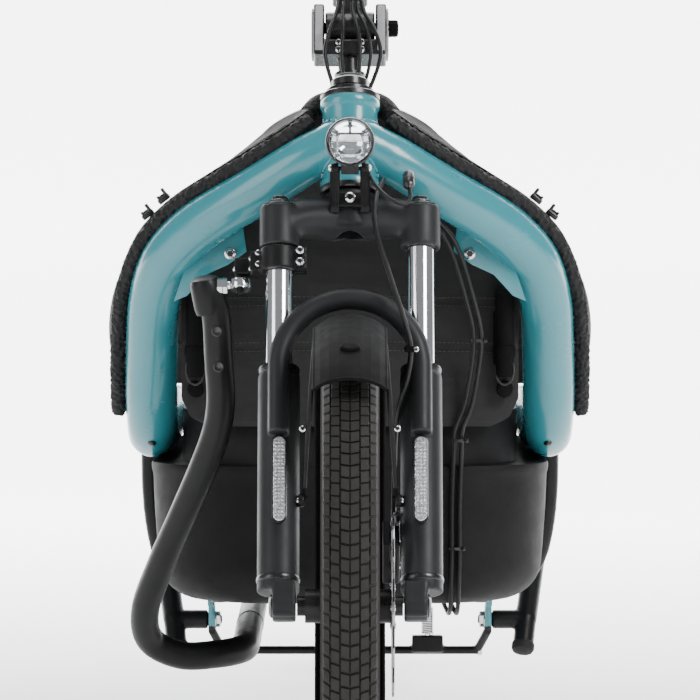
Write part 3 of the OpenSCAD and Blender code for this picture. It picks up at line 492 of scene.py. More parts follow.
def rounded_copy(node, name, voxel, passes, scale=1.0):
    """A copy of a node's mesh, remeshed in one skin and smoothed."""
    mesh = nodes[node].data.copy()
    bm = bmesh.new()
    bm.from_mesh(mesh)
    bmesh.ops.remove_doubles(bm, verts=bm.verts[:], dist=1e-6)
    if scale != 1.0:
        centre = middle(*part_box(node))
        for v in bm.verts:
            v.co = centre + (v.co - centre) * scale
    bm.to_mesh(mesh)
    bm.free()
    mesh.materials.clear()
    obj = linked(name, mesh)
    mod = obj.modifiers.new("voxels", "REMESH")
    mod.mode = "VOXEL"
    mod.voxel_size = voxel * MM
    mod.use_smooth_shade = True
    mod = obj.modifiers.new("round", "SMOOTH")
    mod.factor = 0.5
    mod.iterations = passes
    apply(obj)
    return obj


def cast(node, body, mats, voxel, passes):
    """The node's own shape with blended joints and rounded edges, as a casting has."""
    obj = rounded_copy(node, node + "_cast", voxel, passes)
    for mat in listed(mats):
        obj.data.materials.append(mat)
    shade_smooth(obj)
    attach(obj, body)
    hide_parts(node)
    return obj


def cord(name, route, d, body, steps, replaces=(), bend=None, at=BIKE):
    """A cable or hose along a route."""
    path = smooth(route, steps)
    piece = Piece(at)
    piece.tube(path, d / 2, 12)
    obj = piece.done(name, None if bend else body, "belt_rubber", CABLE, replaces)
    if bend:
        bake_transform(obj)


def repaint(mat, *names):
    for name in names:
        obj = nodes[name]
        for slot in obj.material_slots:
            slot.material = mat


# ------------------------------------------------------------------ wheels

def tyre(name, node, body, centre, r, pitch_count):
    """Carcass with rows of tread blocks, each column half a row off the next."""
    profile = [(12.2, 50), (20, 42), (25.5, 33), (28, 24), (27.9, 19), (26.6, 14), (24, 10),
               (20, 7.2), (15, 5), (8, 3.5), (0, 3.1)]
    section = profile + [(-x, h) for x, h in profile[-2::-1]]
    piece = Piece()
    inner = [(r - 50, -11), (r - 47, 0), (r - 50, 11)]
    piece.lathe([(r - h, x) for x, h in section] + inner, centre, X, 150, loop=True)
    # Three fine moulded rings on each side
    for side in (-1, 1):
        for drop, x in ((38, 23.2), (31, 26.4), (17.5, 27.9)):
            ring = [(r - drop - 1, side * (x - 0.4)), (r - drop, side * (x + 0.7)),
                    (r - drop + 1, side * (x - 0.4))]
            piece.lathe(ring, centre, X, 150, loop=True)

    def depth(x):
        x = abs(x)
        for (xa, ha), (xb, hb) in zip(profile[::-1], profile[-2::-1]):
            if x <= xb or (xb, hb) == profile[4]:
                return ha + (hb - ha) * (x - xa) / (xb - xa)
        return 12

    def spot(x, s, lift):
        a = s / r
        high = r - depth(x) + lift
        out = min(high, r - 0.2)
        return (centre[0] + x, centre[1] - out * math.sin(a), centre[2] + out * math.cos(a))

    def stud(corners, lift=3.0, inset=0.8):
        cx = sum(c[0] for c in corners) / len(corners)
        cs = sum(c[1] for c in corners) / len(corners)
        low = [spot(x, s, -0.6) for x, s in corners]
        mid = [spot(x, s, lift * 0.75) for x, s in corners]
        top = []
        for x, s in corners:
            dx, ds = cx - x, cs - s
            k = inset / math.hypot(dx, ds)
            top.append(spot(x + dx * k, s + ds * k, lift))
        piece.skin([low, mid, top])

    pitch = 2 * math.pi * r / pitch_count
    for i in range(pitch_count):
        s = i * pitch
        g = pitch / 20
        for side in (-1, 1):
            for row in (0, 10):
                for corners, lift in (
                        ([(0.4, 1.8), (8.9, 0.5), (8.9, 8.9), (0.4, 10.4)], 2.8),
                        ([(10.1, -4.5), (18.1, -6.0), (18.3, 2.5), (10.1, 4.1)], 2.7),
                        ([(19.5, 0.3), (25.6, -1.4), (25.6, 6.0), (19.5, 8.1)], 2.5)):
                    stud([(side * x, s + (y + row) * g) for x, y in corners], lift, 0.7)
    piece.done(name, body, "tyre_rubber", RUBBER, [node], sharp=30)


def rotor(name, body, centre, x, r):
    """Brake disc ring with scalloped edges, slots and a riveted carrier."""
    piece = Piece()
    t = 1.15
    hub = (x, *centre[1:])
    piece.lathe([(r - 15.5, -t), (r - 0.8, -t), (r, -t + 0.5), (r, t - 0.5), (r - 0.8, t),
                 (r - 15.5, t)], hub, X, 144, loop=True, shape=knurl(0.012, 12))
    for i in range(6):
        a = math.radians(60 * i)
        arm = [round_axle(centre, x, 22, a), round_axle(centre, x, r - 13, a + 0.35)]
        piece.tube(smooth(arm, 6), [5.2, 3.4, 3.0, 4.6], 12)
    for v in piece.bm.verts:
        v.co.x = x * MM + max(-1.4 * MM, min(1.4 * MM, v.co.x - x * MM))
    piece.lathe([(14, -1.6), (27, -1.6), (27, 1.6), (14, 1.6)], hub, X, 48,
                loop=True)
    piece.paint = 1
    for i in range(6):
        a = math.radians(60 * i + 30)
        for sign in (-1, 1):
            piece.bolt(round_axle(centre, x + sign * 1.5, 22, a), (sign, 0, 0), 6.4, 1.6)
    piece.paint = 2
    for a in angles(24):
        for k, hole_r in enumerate((r - 11.5, r - 5)):
            piece.lathe([(2.3, -t - 0.12), (2.3, t + 0.12)],
                        round_axle(centre, x, hole_r, a + 0.1 * k), X, 12)
    piece.done(name, body, "chrome_steel", [STEEL, BOLT, SATIN_BLACK, SATIN_BLACK], sharp=30)


tyre("front_tyre_tread", "front_tyre", "front_wheel", AXLE, FRONT_R, 60)
tyre("rear_tyre_tread", "rear_tyre", "rear_wheel", REAR, REAR_R, 76)
rotor("front_disc", "front_wheel", AXLE, 43, 90)
rotor("rear_disc", "rear_wheel", REAR, 52, 80)
repaint(RIM_BLACK, "front_rim", "rear_rim", "front_hub", "rear_hub")
repaint(STEEL, "front_spokes", "rear_spokes")

for wheel, body, centre, r in (("front", "front_wheel", AXLE, FRONT_R),
                               ("rear", "rear_wheel", REAR, REAR_R)):
    nipples = Piece()
    for i in range(28):
        a = math.radians(360 * i / 28)
        out = Vector((0, math.cos(a), math.sin(a)))
        foot = Vector(centre) + out * (r - 74.5) + Vector(((1 if i % 2 == 0 else -1) * 1.2, 0, 0))
        nipples.lathe([(1.6, -9), (2.1, -7), (2.1, 1.5), (2.9, 2.6)], foot, out, 10)
    nipples.paint = 1
    out = Vector((0, math.cos(0.11), math.sin(0.11)))
    base = Vector(centre) + out * (r - 72)
    nipples.lathe([(4.6, 0), (4.2, -2.5), (3.1, -4), (3.1, -20), (2.4, -22), (3.4, -23),
                   (3.4, -30), (2.6, -32)], base, out, 20)
    nipples.done(wheel + "_nipples", body, "spoke_steel", [BOLT, CABLE])

caps = Piece(FORK)
for side in (-1, 1):
    caps.lathe([(12, 0), (12, 3), (9, 5), (5.5, 5.4), (5, 3.4), (0.2, 3.2)],
               (side * 76, -35, 0), (side, 0, 0), 32)
caps.done("front_axle_caps", "lowers", "matt_black_metal", SATIN_BLACK)


# ------------------------------------------------------------------ frame

# Middle line of a frame tube, from the head tube round the box to the mast
RAIL = [(2, 197, 731), (26, 200, 718), (52, 205, 704), (104, 225, 672), (141, 245, 650),
        (170, 264, 628), (193, 285, 600), (206, 315, 560), (210, 350, 506),
        (212, 385, 455), (212, 430, 420), (212, 490, 412), (212, 700, 412), (212, 900, 412),
        (205, 965, 412), (178, 1020, 412), (125, 1053, 412), (68, 1060, 412),
        (0.4, 1060, 412)]
GUSSET = [(112, 640), (146, 622), (172, 596), (184, 560), (170, 566), (150, 588), (128, 598),
          (108, 612)]


def weld(piece, ring, r=2.3):
    """Bead of overlapping ripples along a closed ring of points."""
    n = len(ring)
    rings = []
    for i, p in enumerate(ring):
        t = (ring[(i + 1) % n] - ring[i - 1]).normalized()
        a = t.orthogonal().normalized()
        b = t.cross(a)
        k = r * (1 + 0.12 * math.sin(i * 2 * math.pi / 4))
        rings.append([p + k * (math.cos(w) * a + math.sin(w) * b) for w in angles(10)])
    piece.skin(rings, loop=True)


def meeting(path, radius, origin, axis, axis_r, count=96):
    """Ring where a tube of one radius meets a round post."""
    ring = []
    path = [Vector(p) for p in path]
    dirs = frames(path)
    for w in angles(count):
        last = None
        for p, (_, a, b) in zip(path, dirs):
            q = p + radius * (math.cos(w) * a + math.sin(w) * b)
            off = q - origin
            gap = (off - off.dot(axis) * axis).length - axis_r
            if gap >= 0:
                if last:
                    k = last[1] / (last[1] - gap)
                    q = last[0] + (q - last[0]) * k
                break
            last = (q, gap)
        ring.append(q)
    return ring


UP = Vector((0, math.sin(RAKE), math.cos(RAKE)))
post, mast = Vector(FORK_FOOT), Vector(MAST_FOOT)
for side, name in SIDES:
    tube = Piece()
    route = smooth([(side * x, d, z) for x, d, z in RAIL], 10)
    tube.tube(route, [24, 27.5, 27.5, 27.5, 27.5], 48)
    obj = tube.done("tube_" + name, "frame", "teal_paint", TEAL, ["frame_tube_" + name])
    bored(obj, post, UP, 25.5)
    bored(obj, mast, UP, 21.4)
    trim = Piece()
    front = [Vector((side * x, 268, z)) for x, z in GUSSET]
    trim.skin([front, [Vector((p.x, 263, p.z)) for p in front]])
    weld(trim, meeting(route[:40], 24.2, post, UP, 28.4))
    weld(trim, meeting(route[::-1][:60], 27.4, mast, UP, 22.9))
    trim.done("gusset_plate_" + name, "frame", "teal_paint", TEAL, bevel=0.8)

head = Piece(FORK)
head.lathe([(22.2, 450.5), (30.2, 450.5), (31, 452), (31, 459), (29.2, 462), (28.5, 466),
            (28.5, 535), (29.2, 538), (31, 541), (31, 547), (30.2, 548.5), (22.2, 548.5)],
           sides=64, loop=True)
head.lathe([(20, -4), (20, 0.9), (18.6, 1.8), (4, 2.2)], (0, -27.6, 500), FRONT, 40)
head.done("head_tube", "frame", "teal_paint", TEAL, ["front_head_tube"])

repaint(TEAL, "steering_mast", "main_tube", "lower_tube", "seat_tube", "rear_stay_left",
        "rear_stay_right")
yoke = cast("stand_yoke", "frame", [TEAL, BLACK_METAL], 1.8, 5)
for poly in yoke.data.polygons:
    c = poly.center
    if not (0.148 < abs(c.x) < 0.176 and 0.165 < c.z < 0.236):
        poly.material_index = 1

welds = Piece()
main_tube = Vector((0, 1136, 600)), Vector((0, 1670, 410))
lower_tube = Vector((0, 1030, 318)), Vector((0, 1580, 290))
for (a, b), r in ((main_tube, 28.2), (lower_tube, 25.2)):
    back = a + (a - b).normalized() * 60
    line = [back + (b - back) * (k / 300) for k in range(301)]
    weld(welds, meeting(line, r, mast, UP, 22.9))
seat_axis = Vector((0, math.sin(SEAT_ANGLE), math.cos(SEAT_ANGLE)))
a, b = main_tube
line = [b + (a - b) * (k / 300) for k in range(301)]
weld(welds, meeting(line, 28.2, Vector(CRANK), seat_axis, 17.9))
welds.done("frame_welds", "frame", "teal_paint", TEAL)

bolts = Piece()
for side in (-1, 1):
    bolts.bolt((side * 125, 263, 610), FRONT, 12.6, 4.6)
    bolts.bolt((side * 125, 268.2, 610), Y, 11, 5, True)
bolts.done("gusset_screws", "frame", "chrome_steel", [BOLT, SATIN_BLACK], ["gusset_bolts"])

brackets = Piece()
for side in (-1, 1):
    brackets.bolt((side * 212, 402, 405), (0, -0.4, -0.9), 9, 4)
brackets.done("rail_screws", "frame", "matt_black_metal", [SATIN_BLACK, SATIN_BLACK])

rings = Piece(FORK)
rings.lathe([(16, 446.7), (30.8, 446.7), (31.8, 448), (31.8, 452.6), (30.5, 453), (16, 453)],
            sides=64, loop=True)
rings.lathe([(16, 548.4), (30, 548.4), (30.8, 549.4), (30.8, 554), (29.6, 555), (25, 555.4),
             (24.8, 560.4), (23.6, 561.2), (16, 561.2)], sides=64, loop=True)
rings.at = MAST
rings.lathe([(15, 30), (22.2, 30), (23, 31), (23, 39), (22, 40), (15, 40)], sides=64, loop=True)
rings.lathe([(15, 640), (23.4, 640), (24, 641), (24, 648.6), (22.6, 650), (15, 650)], sides=64,
            loop=True)
rings.done("bearing_rings", "frame", "matt_black_metal", SATIN_BLACK, ["headset_cups"])


# ------------------------------------------------------------------ cargo box

FOAM_T = 14
WALL_FRONT = smooth([(241.5, 425, 436), (241.5, 392, 468), (240, 356, 516), (234, 320, 568),
                     (214, 290, 620), (185, 268, 652), (155, 249, 673), (117, 229, 695),
                     (65, 212, 727), (38, 218, 747)], 3)
WALL_REAR = [Vector(p) for p in ((241.5, 1000, 436), (241, 1030, 518), (238, 1058, 600))]
WALL_BOTTOM = [Vector(p) for p in ((241.5, 425, 436), (241.5, 700, 436), (241.5, 1000, 436))]
WALL_TOP = smooth([(38, 218, 747), (46, 246, 748), (72, 279, 736), (108, 300, 712),
                   (150, 334, 685), (184, 388, 651), (211, 476, 614), (225, 590, 592),
                   (232, 750, 586), (236, 900, 588), (238, 1058, 600)], 3)


def wall_point(u, v):
    return ((1 - u) * along(WALL_FRONT, v) + u * along(WALL_REAR, v)
            + (1 - v) * along(WALL_BOTTOM, u) + v * along(WALL_TOP, u)
            - (1 - u) * (1 - v) * WALL_FRONT[0] - u * (1 - v) * WALL_REAR[0]
            - (1 - u) * v * WALL_TOP[0] - u * v * WALL_REAR[2])


def wall_normal(u, v):
    e = 0.02
    a, b, c, d = min(u + e, 1), max(u - e, 0), min(v + e, 1), max(v - e, 0)
    across = wall_point(a, v) - wall_point(b, v)
    return across.cross(wall_point(u, c) - wall_point(u, d)).normalized()


def wall(side, name):
    """Foam shell with soft round edges; the front edge shows its coarse beads."""
    nu, nv = 64, 40
    piece = Piece()
    rings = []
    for i in range(nu + 1):
        u = (i / nu) ** 1.3
        inner, outer = [], []
        for j in range(nv + 1):
            v = j / nv
            p, n = wall_point(u, v), wall_normal(u, v)
            # Shallow pressed panel in the outer face, away from the edges
            edge = min(u / 0.12, (1 - u) / 0.08, v / 0.16, (1 - v) / 0.14)
            press = 1.6 * max(0.0, min(1.0, edge - 1.0))
            inner.append(p)
            outer.append(p + (FOAM_T - press) * n)
        ring = inner + outer[::-1]
        rings.append([Vector((side * q.x, q.y, q.z)) for q in ring])
    piece.skin(rings)
    obj = piece.done("foam_wall_" + name, "frame", "foam_shell", [FOAM, FOAM_RIM],
                     ["side_wall_" + name], bevel=5.0)
    for poly in obj.data.polygons:
        c = poly.center / MM
        near = min((Vector((abs(c.x), c.y + BACK, c.z)) - p).length for p in WALL_FRONT[::2])
        if near < 21:
            poly.material_index = 1


for side, name in SIDES:
    wall(side, name)

# Coarse foam bead along each wall's front edge, pressed against the frame tube
for side, name in SIDES:
    bead = Piece()
    rings = []
    path = [along(WALL_FRONT, 0.02 + 0.98 * k / 300) for k in range(301)]
    for k, (p, (_, a, b)) in enumerate(zip(path, frames(path))):
        n = wall_normal(0.0, 0.02 + 0.98 * k / 300)
        c = p + n * (FOAM_T / 2 - 1.0) + Vector((0, -4.0, -2.0))
        ring = []
        for w in angles(30):
            q = math.cos(w) * a + math.sin(w) * b
            cell = noise.voronoi((c + 8 * q) * 0.22)[0]
            r = 9.4 - 2.6 * min(1.0, cell[0] * 1.4) ** 1.5
            ring.append(c + r * q)
        rings.append([Vector((side * q.x, q.y, q.z)) for q in ring])
    bead.skin(rings)
    bead.done("foam_bead_" + name, "frame", "foam_shell", FOAM_RIM, sharp=80)

# Soft binding along the walls' upper edge
for side, name in SIDES:
    trim = Piece()
    path = []
    for k in range(61):
        u = 0.02 + 0.97 * k / 60
        p, n = wall_point(u, 1.0), wall_normal(u, 0.99)
        q = p + n * (FOAM_T / 2)
        path.append(Vector((side * q.x, q.y, q.z + 1.0)))
    trim.tube(path, [5.5, 6.2, 6.2, 5.5], 16)
    trim.paint = 1
    for a, b in zip(path, path[1:]):
        for t in (0.1, 0.6):
            s = a.lerp(b, t) + Vector((0, 0, 6.1))
            e = a.lerp(b, t + 0.32) + Vector((0, 0, 6.1))
            trim.stitch(s, e, 0.5)
    trim.done("wall_binding_" + name, "frame", "panel_fabric", [WEBBING, THREAD])


def panel(name, replaces, outline_x, y_front, thickness, low, high, tilt, seams):
    """Fabric-covered panel with puckered seams; outline_x(z) is its half width."""
    piece = Piece()
    nx, nz = 72, 64
    grids = []
    for layer in (0, 1):
        rows = []
        for j in range(nz + 1):
            z = low + (high - low) * j / nz
            half = outline_x(z)
            row = []
            for i in range(nx + 1):
                s = -1 + 2 * i / nx
                x = half * s
                rim = min(1.0, (1 - abs(s)) * half / 14, (z - low) / 12, (high - z) / 12)
                puff = (1.6 if layer == 0 else 1.2) * (1 - (1 - rim) ** 2)
                fold = 0.5 * math.sin(z * 0.19 + 0.8 * math.sin(x * 0.03)) \
                    * math.sin(x * 0.021 + z * 0.013)
                for seam in seams:
                    off = z - seam - 3 * (1 - s * s)
                    puff -= 1.5 * math.exp(-(off / 2.6) ** 2)
                    puff += 0.35 * math.exp(-(off / 14) ** 2) * math.sin(x * 0.42)
                if layer == 0:
                    y = y_front + 1.6 - puff - fold * rim
                else:
                    y = y_front + thickness - 1.2 + puff
                row.append(Vector((x, y, z)))
            rows.append(row)
        grids.append(rows)
    verts = [p for rows in grids for row in rows for p in row]
    w = nx + 1
    off = w * (nz + 1)
    faces = []
    for j in range(nz):
        for i in range(nx):
            a = j * w + i
            faces.append((a, a + 1, a + w + 1, a + w))
            faces.append((off + a, off + a + w, off + a + w + 1, off + a + 1))
    for j in range(nz):
        a = j * w
        faces.append((a, a + w, off + a + w, off + a))
        a = j * w + nx
        faces.append((a, off + a, off + a + w, a + w))
    for i in range(nx):
        a = i
        faces.append((a, off + a, off + a + 1, a + 1))
        a = nz * w + i
        faces.append((a, a + 1, off + a + 1, off + a))
    piece.at = turned((0, y_front, low), tilt) @ Matrix.Translation((0, -y_front, -low))
    piece.add(verts, faces)
    piece.paint = 1
    for seam in seams:
        for lift in (-4.5, 4.5):
            count = int(outline_x(seam) * 2 / 5)
            for k in range(count):
                x = -outline_x(seam) + 8 + k * (2 * outline_x(seam) - 16) / count
                s = x / outline_x(seam)
                z = seam + lift + 3 * (1 - s * s)
                y = y_front - 0.35
                piece.tube([(x, y + 0.4, z), (x + 1.6, y - 0.3, z), (x + 3.2, y + 0.4, z)],
                           [0.35, 0.5, 0.35], 5)
    obj = piece.done(name, "frame", "panel_fabric", [FABRIC, THREAD], replaces)


def front_half(z):
    pts = [(426, 148), (435, 168), (456, 178), (560, 178), (618, 150), (655, 135)]
    for (za, xa), (zb, xb) in zip(pts, pts[1:]):
        if z <= zb:
            return xa + (xb - xa) * (z - za) / (zb - za)
    return 135


panel("front_cover", ["front_panel"], front_half, 323, 9, 426, 655, 0.0, (556, 508))
panel("front_cover_top", [], lambda z: 135 - 97 * (z - 655) / 116, 323, 9, 655, 771,
      -math.radians(28.8), (662, 724))
panel("rear_cover", ["rear_panel"], lambda z: 233.0, 962, 9, 444, 609, RAKE, (580, 490))

# Soft roll that closes the top behind the head tube
roll = Piece()
line = smooth([(44, 244, 754), (30, 258, 765), (0, 267, 770), (-30, 258, 765), (-44, 244, 754)],
              8)
roll.tube(line, [10, 12, 12, 12, 10], 24)
roll.paint = 1
for k in range(1, len(line) - 2, 2):
    a, b = line[k], line[k + 1]
    lift = Vector((0, -6.8, 9.4))
    roll.tube([a + lift, a.lerp(b, 0.5) + lift * 1.06, b + lift], [0.3, 0.6, 0.3], 6)
roll.done("top_roll", "frame", "foam_shell", [FOAM_RIM, THREAD])

# Welt over the fold where the front cover starts to lean
welt = Piece()
fold = [(-134 + 6.7 * k, 327, 657 + 0.4 * math.sin(k * 1.3)) for k in range(41)]
welt.tube(fold, [4.4, 5.6, 5.6, 4.4], 16)
welt.done("cover_welt", "frame", "panel_fabric", WEBBING)


def tub():
    piece = Piece()

    def half(z):
        return 180 if z > 383 else 212 - 10 * ((383 - z) / 149) ** 1.6

    def ring(z, inset):
        w = half(z) - inset
        front, back = 335 + inset, 930 - inset
        rf, rb = 105 - inset * 0.5, 40 - inset * 0.5
        right = [(w - rf + rf * math.sin(t), front + rf - rf * math.cos(t), z)
                 for t in (math.radians(6 * k) for k in range(16))]
        right += [(w, front + rf + (back - rb - front - rf) * k / 12, z) for k in range(1, 12)]
        right += [(w - rb + rb * math.cos(t), back - rb + rb * math.sin(t), z)
                  for t in (math.radians(10 * k) for k in range(10))]
        return right + [(-x, y, z) for x, y, z in right[::-1]]

    edge, wall_t, low = 40, 4, 234
    corner = [(edge * (1 - math.sin(t)), edge * (1 - math.cos(t)))
              for t in (math.radians(9 * k) for k in range(11))]
    rings = [ring(low + c[1], c[0]) for c in corner]
    rings += [ring(z, 0) for z in range(280, 372, 10)]
    rings += [ring(z, i) for z, i in ((374, -1.2), (377, -1.6), (381, -1.6), (383, -0.6))]
    rings += [ring(384, 0), ring(438, 0), ring(440, 1.2), ring(440, wall_t), ring(384, wall_t),
              ring(379, wall_t)]
    rings += [ring(z, wall_t) for z in range(370, 278, -10)]
    rings += [ring(low + wall_t + c[1] * 0.9, wall_t + c[0] * 0.9) for c in corner[::-1]]
    piece.skin(rings)
    # Moulded ribs under the floor and a drain at each corner
    for x in (-150, -75, 0, 75, 150):
        piece.block((x, 640, 233.6), (12, 400, 2.4), 1.0)
    piece.paint = 1
    for x in (-140, 140):
        for d in (420, 880):
            piece.lathe([(9, -0.5), (9, -2.2), (7, -2.8), (3.5, -2.8), (3.2, -1), (0.2, -1)],
                        (x, d, 234.5), Z, 28)
    piece.done("tub_shell", "frame", "tub_plastic", [TUB, SATIN_BLACK], ["cargo_tub"],
               sharp=50)


tub()
repaint(ALLOY, "floor_plate")
mat_piece = Piece()
for i in range(12):
    for j in range(19):
        x, d = -115 + i * 20.9, 446 + j * 22.6
        if min(abs(abs(x) - 100), 99) < 12 and min(abs(d - 470), abs(d - 830)) < 12:
            continue
        turn = Matrix.Rotation(math.radians(45 if (i + j) % 2 else -45), 4, "Z")
        mat_piece.block((x, d, 246.4), (11, 2.6, 1.8), 0.6, turn)
mat_piece.done("floor_grip_bars", "frame", "floor_aluminium", ALLOY)

fittings = Piece()
for side in (-1, 1):
    x, d = side * 163, 312.9
    fittings.paint = 0
    # Slanted open mouth of the pole pocket
    levels = [(479, 9.0), (482, 10), (545, 10), (556, 10.3)]
    rings_out = [ring_at(x, d, z, r) for z, r in levels]

    def mouth(r, lift):
        return [Vector((p.x, p.y, p.z - 0.35 * (10.3 + p.y - d)))
                for p in ring_at(x, d, 563 + lift, r)]

    rings_out += [mouth(10.3, 4), mouth(11.4, 4.4), mouth(11.6, 7), mouth(10.4, 8.4),
                  mouth(8.2, 7.6), mouth(7.4, 5)]
    rings_out += [ring_at(x, d, 545, 7.2), ring_at(x, d, 490, 7.0)]
    fittings.skin(rings_out)
    fittings.lathe([(10.6, 500), (11.3, 502), (11.3, 510), (10.6, 512)], (x, d, 0), Z,
                   36, loop=True)
    fittings.block((x - side * 9, d + 4.4, 520), (6, 4, 56), 1.2)
    fittings.lathe([(9.2, 0), (9.2, 3), (8, 6), (5, 7.6), (2, 7.9)], (x, d + 2.5, 466),
                   FRONT, 40, shape=knurl(0.03, 12))
    fittings.paint = 1
    strap = smooth([(x + side * 7, d - 2, 500), (x + side * 9.5, d - 4.5, 486),
                    (x + side * 6, d - 5.5, 474), (x - side * 2, d - 5.5, 471),
                    (x - side * 8, d - 4, 478), (x - side * 9, d - 1, 492)], 6)
    for shift in (0, 1.3, 2.6):
        fittings.tube([p + Vector((0, shift, 0)) for p in strap], 1.0, 8)
    fittings.paint = 2
    for v in (0.5, 0.56):
        p = wall_point(0.05, v) + (FOAM_T + 5.8) * wall_normal(0.05, v)
        p = Vector((side * p.x, p.y, p.z))
        turn = Matrix.Rotation(math.radians(side * 38), 4, "Y")
        fittings.block(p, (14, 12, 6), 1.6, turn)
        fittings.block(p + turn @ Vector((-side * 4.5, 0, 6)), (3.6, 11, 9), 1.3, turn)
        fittings.block(p + turn @ Vector((side * 4, 0, 4)), (3, 9, 5), 1.0, turn)
        fittings.lathe([(2.6, 0), (2.6, 2.2), (1.2, 2.8)], p + turn @ Vector((0, 0, 3)),
                       turn @ Vector(Z), 16)
fittings.done("cover_fittings_detail", "frame", "fender_black", [FENDER, WEBBING, SATIN_BLACK],
              ["cover_fittings"])


# ------------------------------------------------------------------ fork and front end

cast("fork_crown", "fork", FORK_DARK, 1.5, 10)
cast("fork_lowers", "lowers", FORK_DARK, 1.6, 12)
repaint(CHROME, "stanchions")

LEG_X, LEG_Y = 72, -25
fork = Piece(FORK)
for side in (-1, 1):
    x = side * LEG_X
    fork.lathe([(14.2, 247), (20.4, 247), (21.2, 249), (20.6, 252), (17.2, 254.6), (14.4, 255)],
               (x, LEG_Y, 0), Z, 48, loop=True)
    fork.lathe([(18.6, 0), (18.8, 1), (17.4, 2.4), (12.6, 3), (12.4, 5.4), (11.4, 6.4), (3, 6.6)],
               (x, LEG_Y, 424), Z, 40)
    fork.lathe([(8, 0), (8, 4.6), (7, 5.6), (3, 5.8)], (x, LEG_Y, 430), Z, 36,
               shape=knurl(0.05, 10))
fork.lathe([(17.6, 563), (19.2, 564), (19.2, 571), (16.4, 573.6), (9, 576.6), (8.6, 574),
            (0.3, 574)], sides=48)
fork.done("fork_caps", "fork", "matt_black_metal", SATIN_BLACK)

seals = Piece(FORK)
for side in (-1, 1):
    x = side * LEG_X
    seals.lathe([(14.3, 244), (19.6, 244.4), (20.6, 246), (20.6, 250), (18, 253.4),
                 (14.3, 254.4)], (x, LEG_Y, 0), Z, 48, loop=True)
    seals.lathe([(21.6, 26), (22.2, 27.5), (22.2, 30.5), (21.6, 32)], (x, LEG_Y, 0), Z, 48,
                loop=True)
    seals.paint = 1
    for t, y in ((21, -44), (196, -58)):
        seals.bolt((x, y, t), FRONT, 7, 2.6)
    seals.paint = 0
seals.done("fork_seals", "lowers", "matt_black_metal", [SATIN_BLACK, BOLT, SATIN_BLACK])

reflect = Piece(FORK)
for side in (-1, 1):
    x, y = side * 71, -50
    low, high, half = 90, 166, 7
    outline = []
    for z, turn in ((high, 0), (low, math.pi)):
        for k in range(25):
            t = turn + math.pi * k / 24
            outline.append((x + half * math.cos(t), z + half * math.sin(t)))

    def loop_at(inset, depth):
        out = []
        for px, pz in outline:
            cz = max(low, min(high, pz))
            dx, dz = px - x, pz - cz
            k = (half - inset) / half
            out.append(Vector((x + dx * k, y - depth, cz + dz * k)))
        return out
    reflect.paint = 1
    reflect.skin([loop_at(0, -3.4), loop_at(-0.6, -2.6), loop_at(-0.6, 0.4), loop_at(0.8, 0.9)])
    reflect.paint = 0
    reflect.skin([loop_at(1.0, 0.5), loop_at(1.0, 1.8), loop_at(1.9, 2.5)])
    # Rows of small moulded pyramids
    for j in range(21):
        for i in range(3):
            px, pz = x - 3.4 + i * 3.4, low + j * 3.8
            reflect.lathe([(2.2, 2.2), (1.2, 2.9), (0.05, 3.3)], (px, y, pz), FRONT, 4)
reflect.done("leg_reflectors", "lowers", "reflector_clear", [PRISM, SATIN_BLACK],
             ["fork_reflectors"], sharp=20)

cast("steering_clamp", "fork", BLACK_METAL, 1.0, 4)
clamp_bolts = Piece(FORK)
for t in (6, 18):
    clamp_bolts.bolt((-51, -40, 355 + t), FRONT, 8.4, 3.6)
    clamp_bolts.bolt((-100, -13, 357 + t * 0.9), FRONT, 7.4, 3)
    clamp_bolts.bolt((-94, -27, 357 + t), FRONT, 6, 2.4)
clamp_bolts.lathe([(5, 0), (7.6, 0.6), (8.2, 2.2), (7.6, 4.4), (5, 5.4), (0.5, 5.6)],
                  (-112, 0, 363), Z, 30)
clamp_bolts.done("clamp_screws", "fork", "chrome_steel", [BOLT, SATIN_BLACK])

# Lamp: ribbed housing, faceted bowl, two light bars and a clear front
lamp = Piece(LAMP)
repaint(LAMP_BLACK, "lamp_shell")
lamp.lathe([(21.6, -0.4), (22.4, -1.8), (23.8, -2.2), (24.7, -1.2), (24.9, 1), (24.9, 5),
            (24.5, 6), (21.6, 6)], (0, 0, 0), Y, 72, loop=True)
for k in range(5):
    d = 27.5 + 3.6 * k
    r = 24.6 - (d - 26) * 11.5 / 20
    lamp.lathe([(r - 1.5, d - 0.9), (r + 1.5, d - 0.7), (r + 1.5, d + 0.7), (r - 1.5, d + 0.9)],
               (0, 0, 0), Y, 64, loop=True)
lamp.done("lamp_rim", "lamp", "lamp_black", LAMP_BLACK, bevel=0.3)
bowl = Piece(LAMP)
rings = []
for r, d in ((21.4, 1.2), (19.4, 5.0), (16.4, 9.2), (12.4, 12.6), (7.4, 14.6), (0.4, 15.2)):
    rings.append([Vector((r * math.cos(t), d, r * math.sin(t)))
                  for t in angles(20)])
bowl.skin(rings, caps=False)
bowl.paint = 1
for x in (-6.4, 6.4):
    bowl.block((x, 6.4, 12.2), (10.4, 5, 5.2), 0.8)
bowl.paint = 2
bowl.block((0, 9, 8.2), (27, 7, 1.6), 0.5)
bowl.block((0, 9, 12.2), (1.6, 7, 7), 0.5)
bowl.paint = 0
for x in (-13.4, 13.4):
    bowl.block((x, 8, -3), (1.4, 7, 17), 0.5)
bowl.block((0, 9, -12.4), (20, 6, 1.4), 0.5)
bowl.done("lamp_bowl", "lamp", "chrome_steel", [MIRROR, LED, LAMP_BLACK], sharp=8)
lens = Piece(LAMP)
lens.lathe([(0.3, 0.6), (10, 0.7), (18, 1.3), (21.3, 2.0), (21.3, 3.4), (18, 2.8), (10, 2.2),
            (0.3, 2.1)], (0, -1.2, 0), Y, 64)
lens.done("lamp_glass_front", "lamp", "lamp_glass", GLASS, ["lamp_lens"])

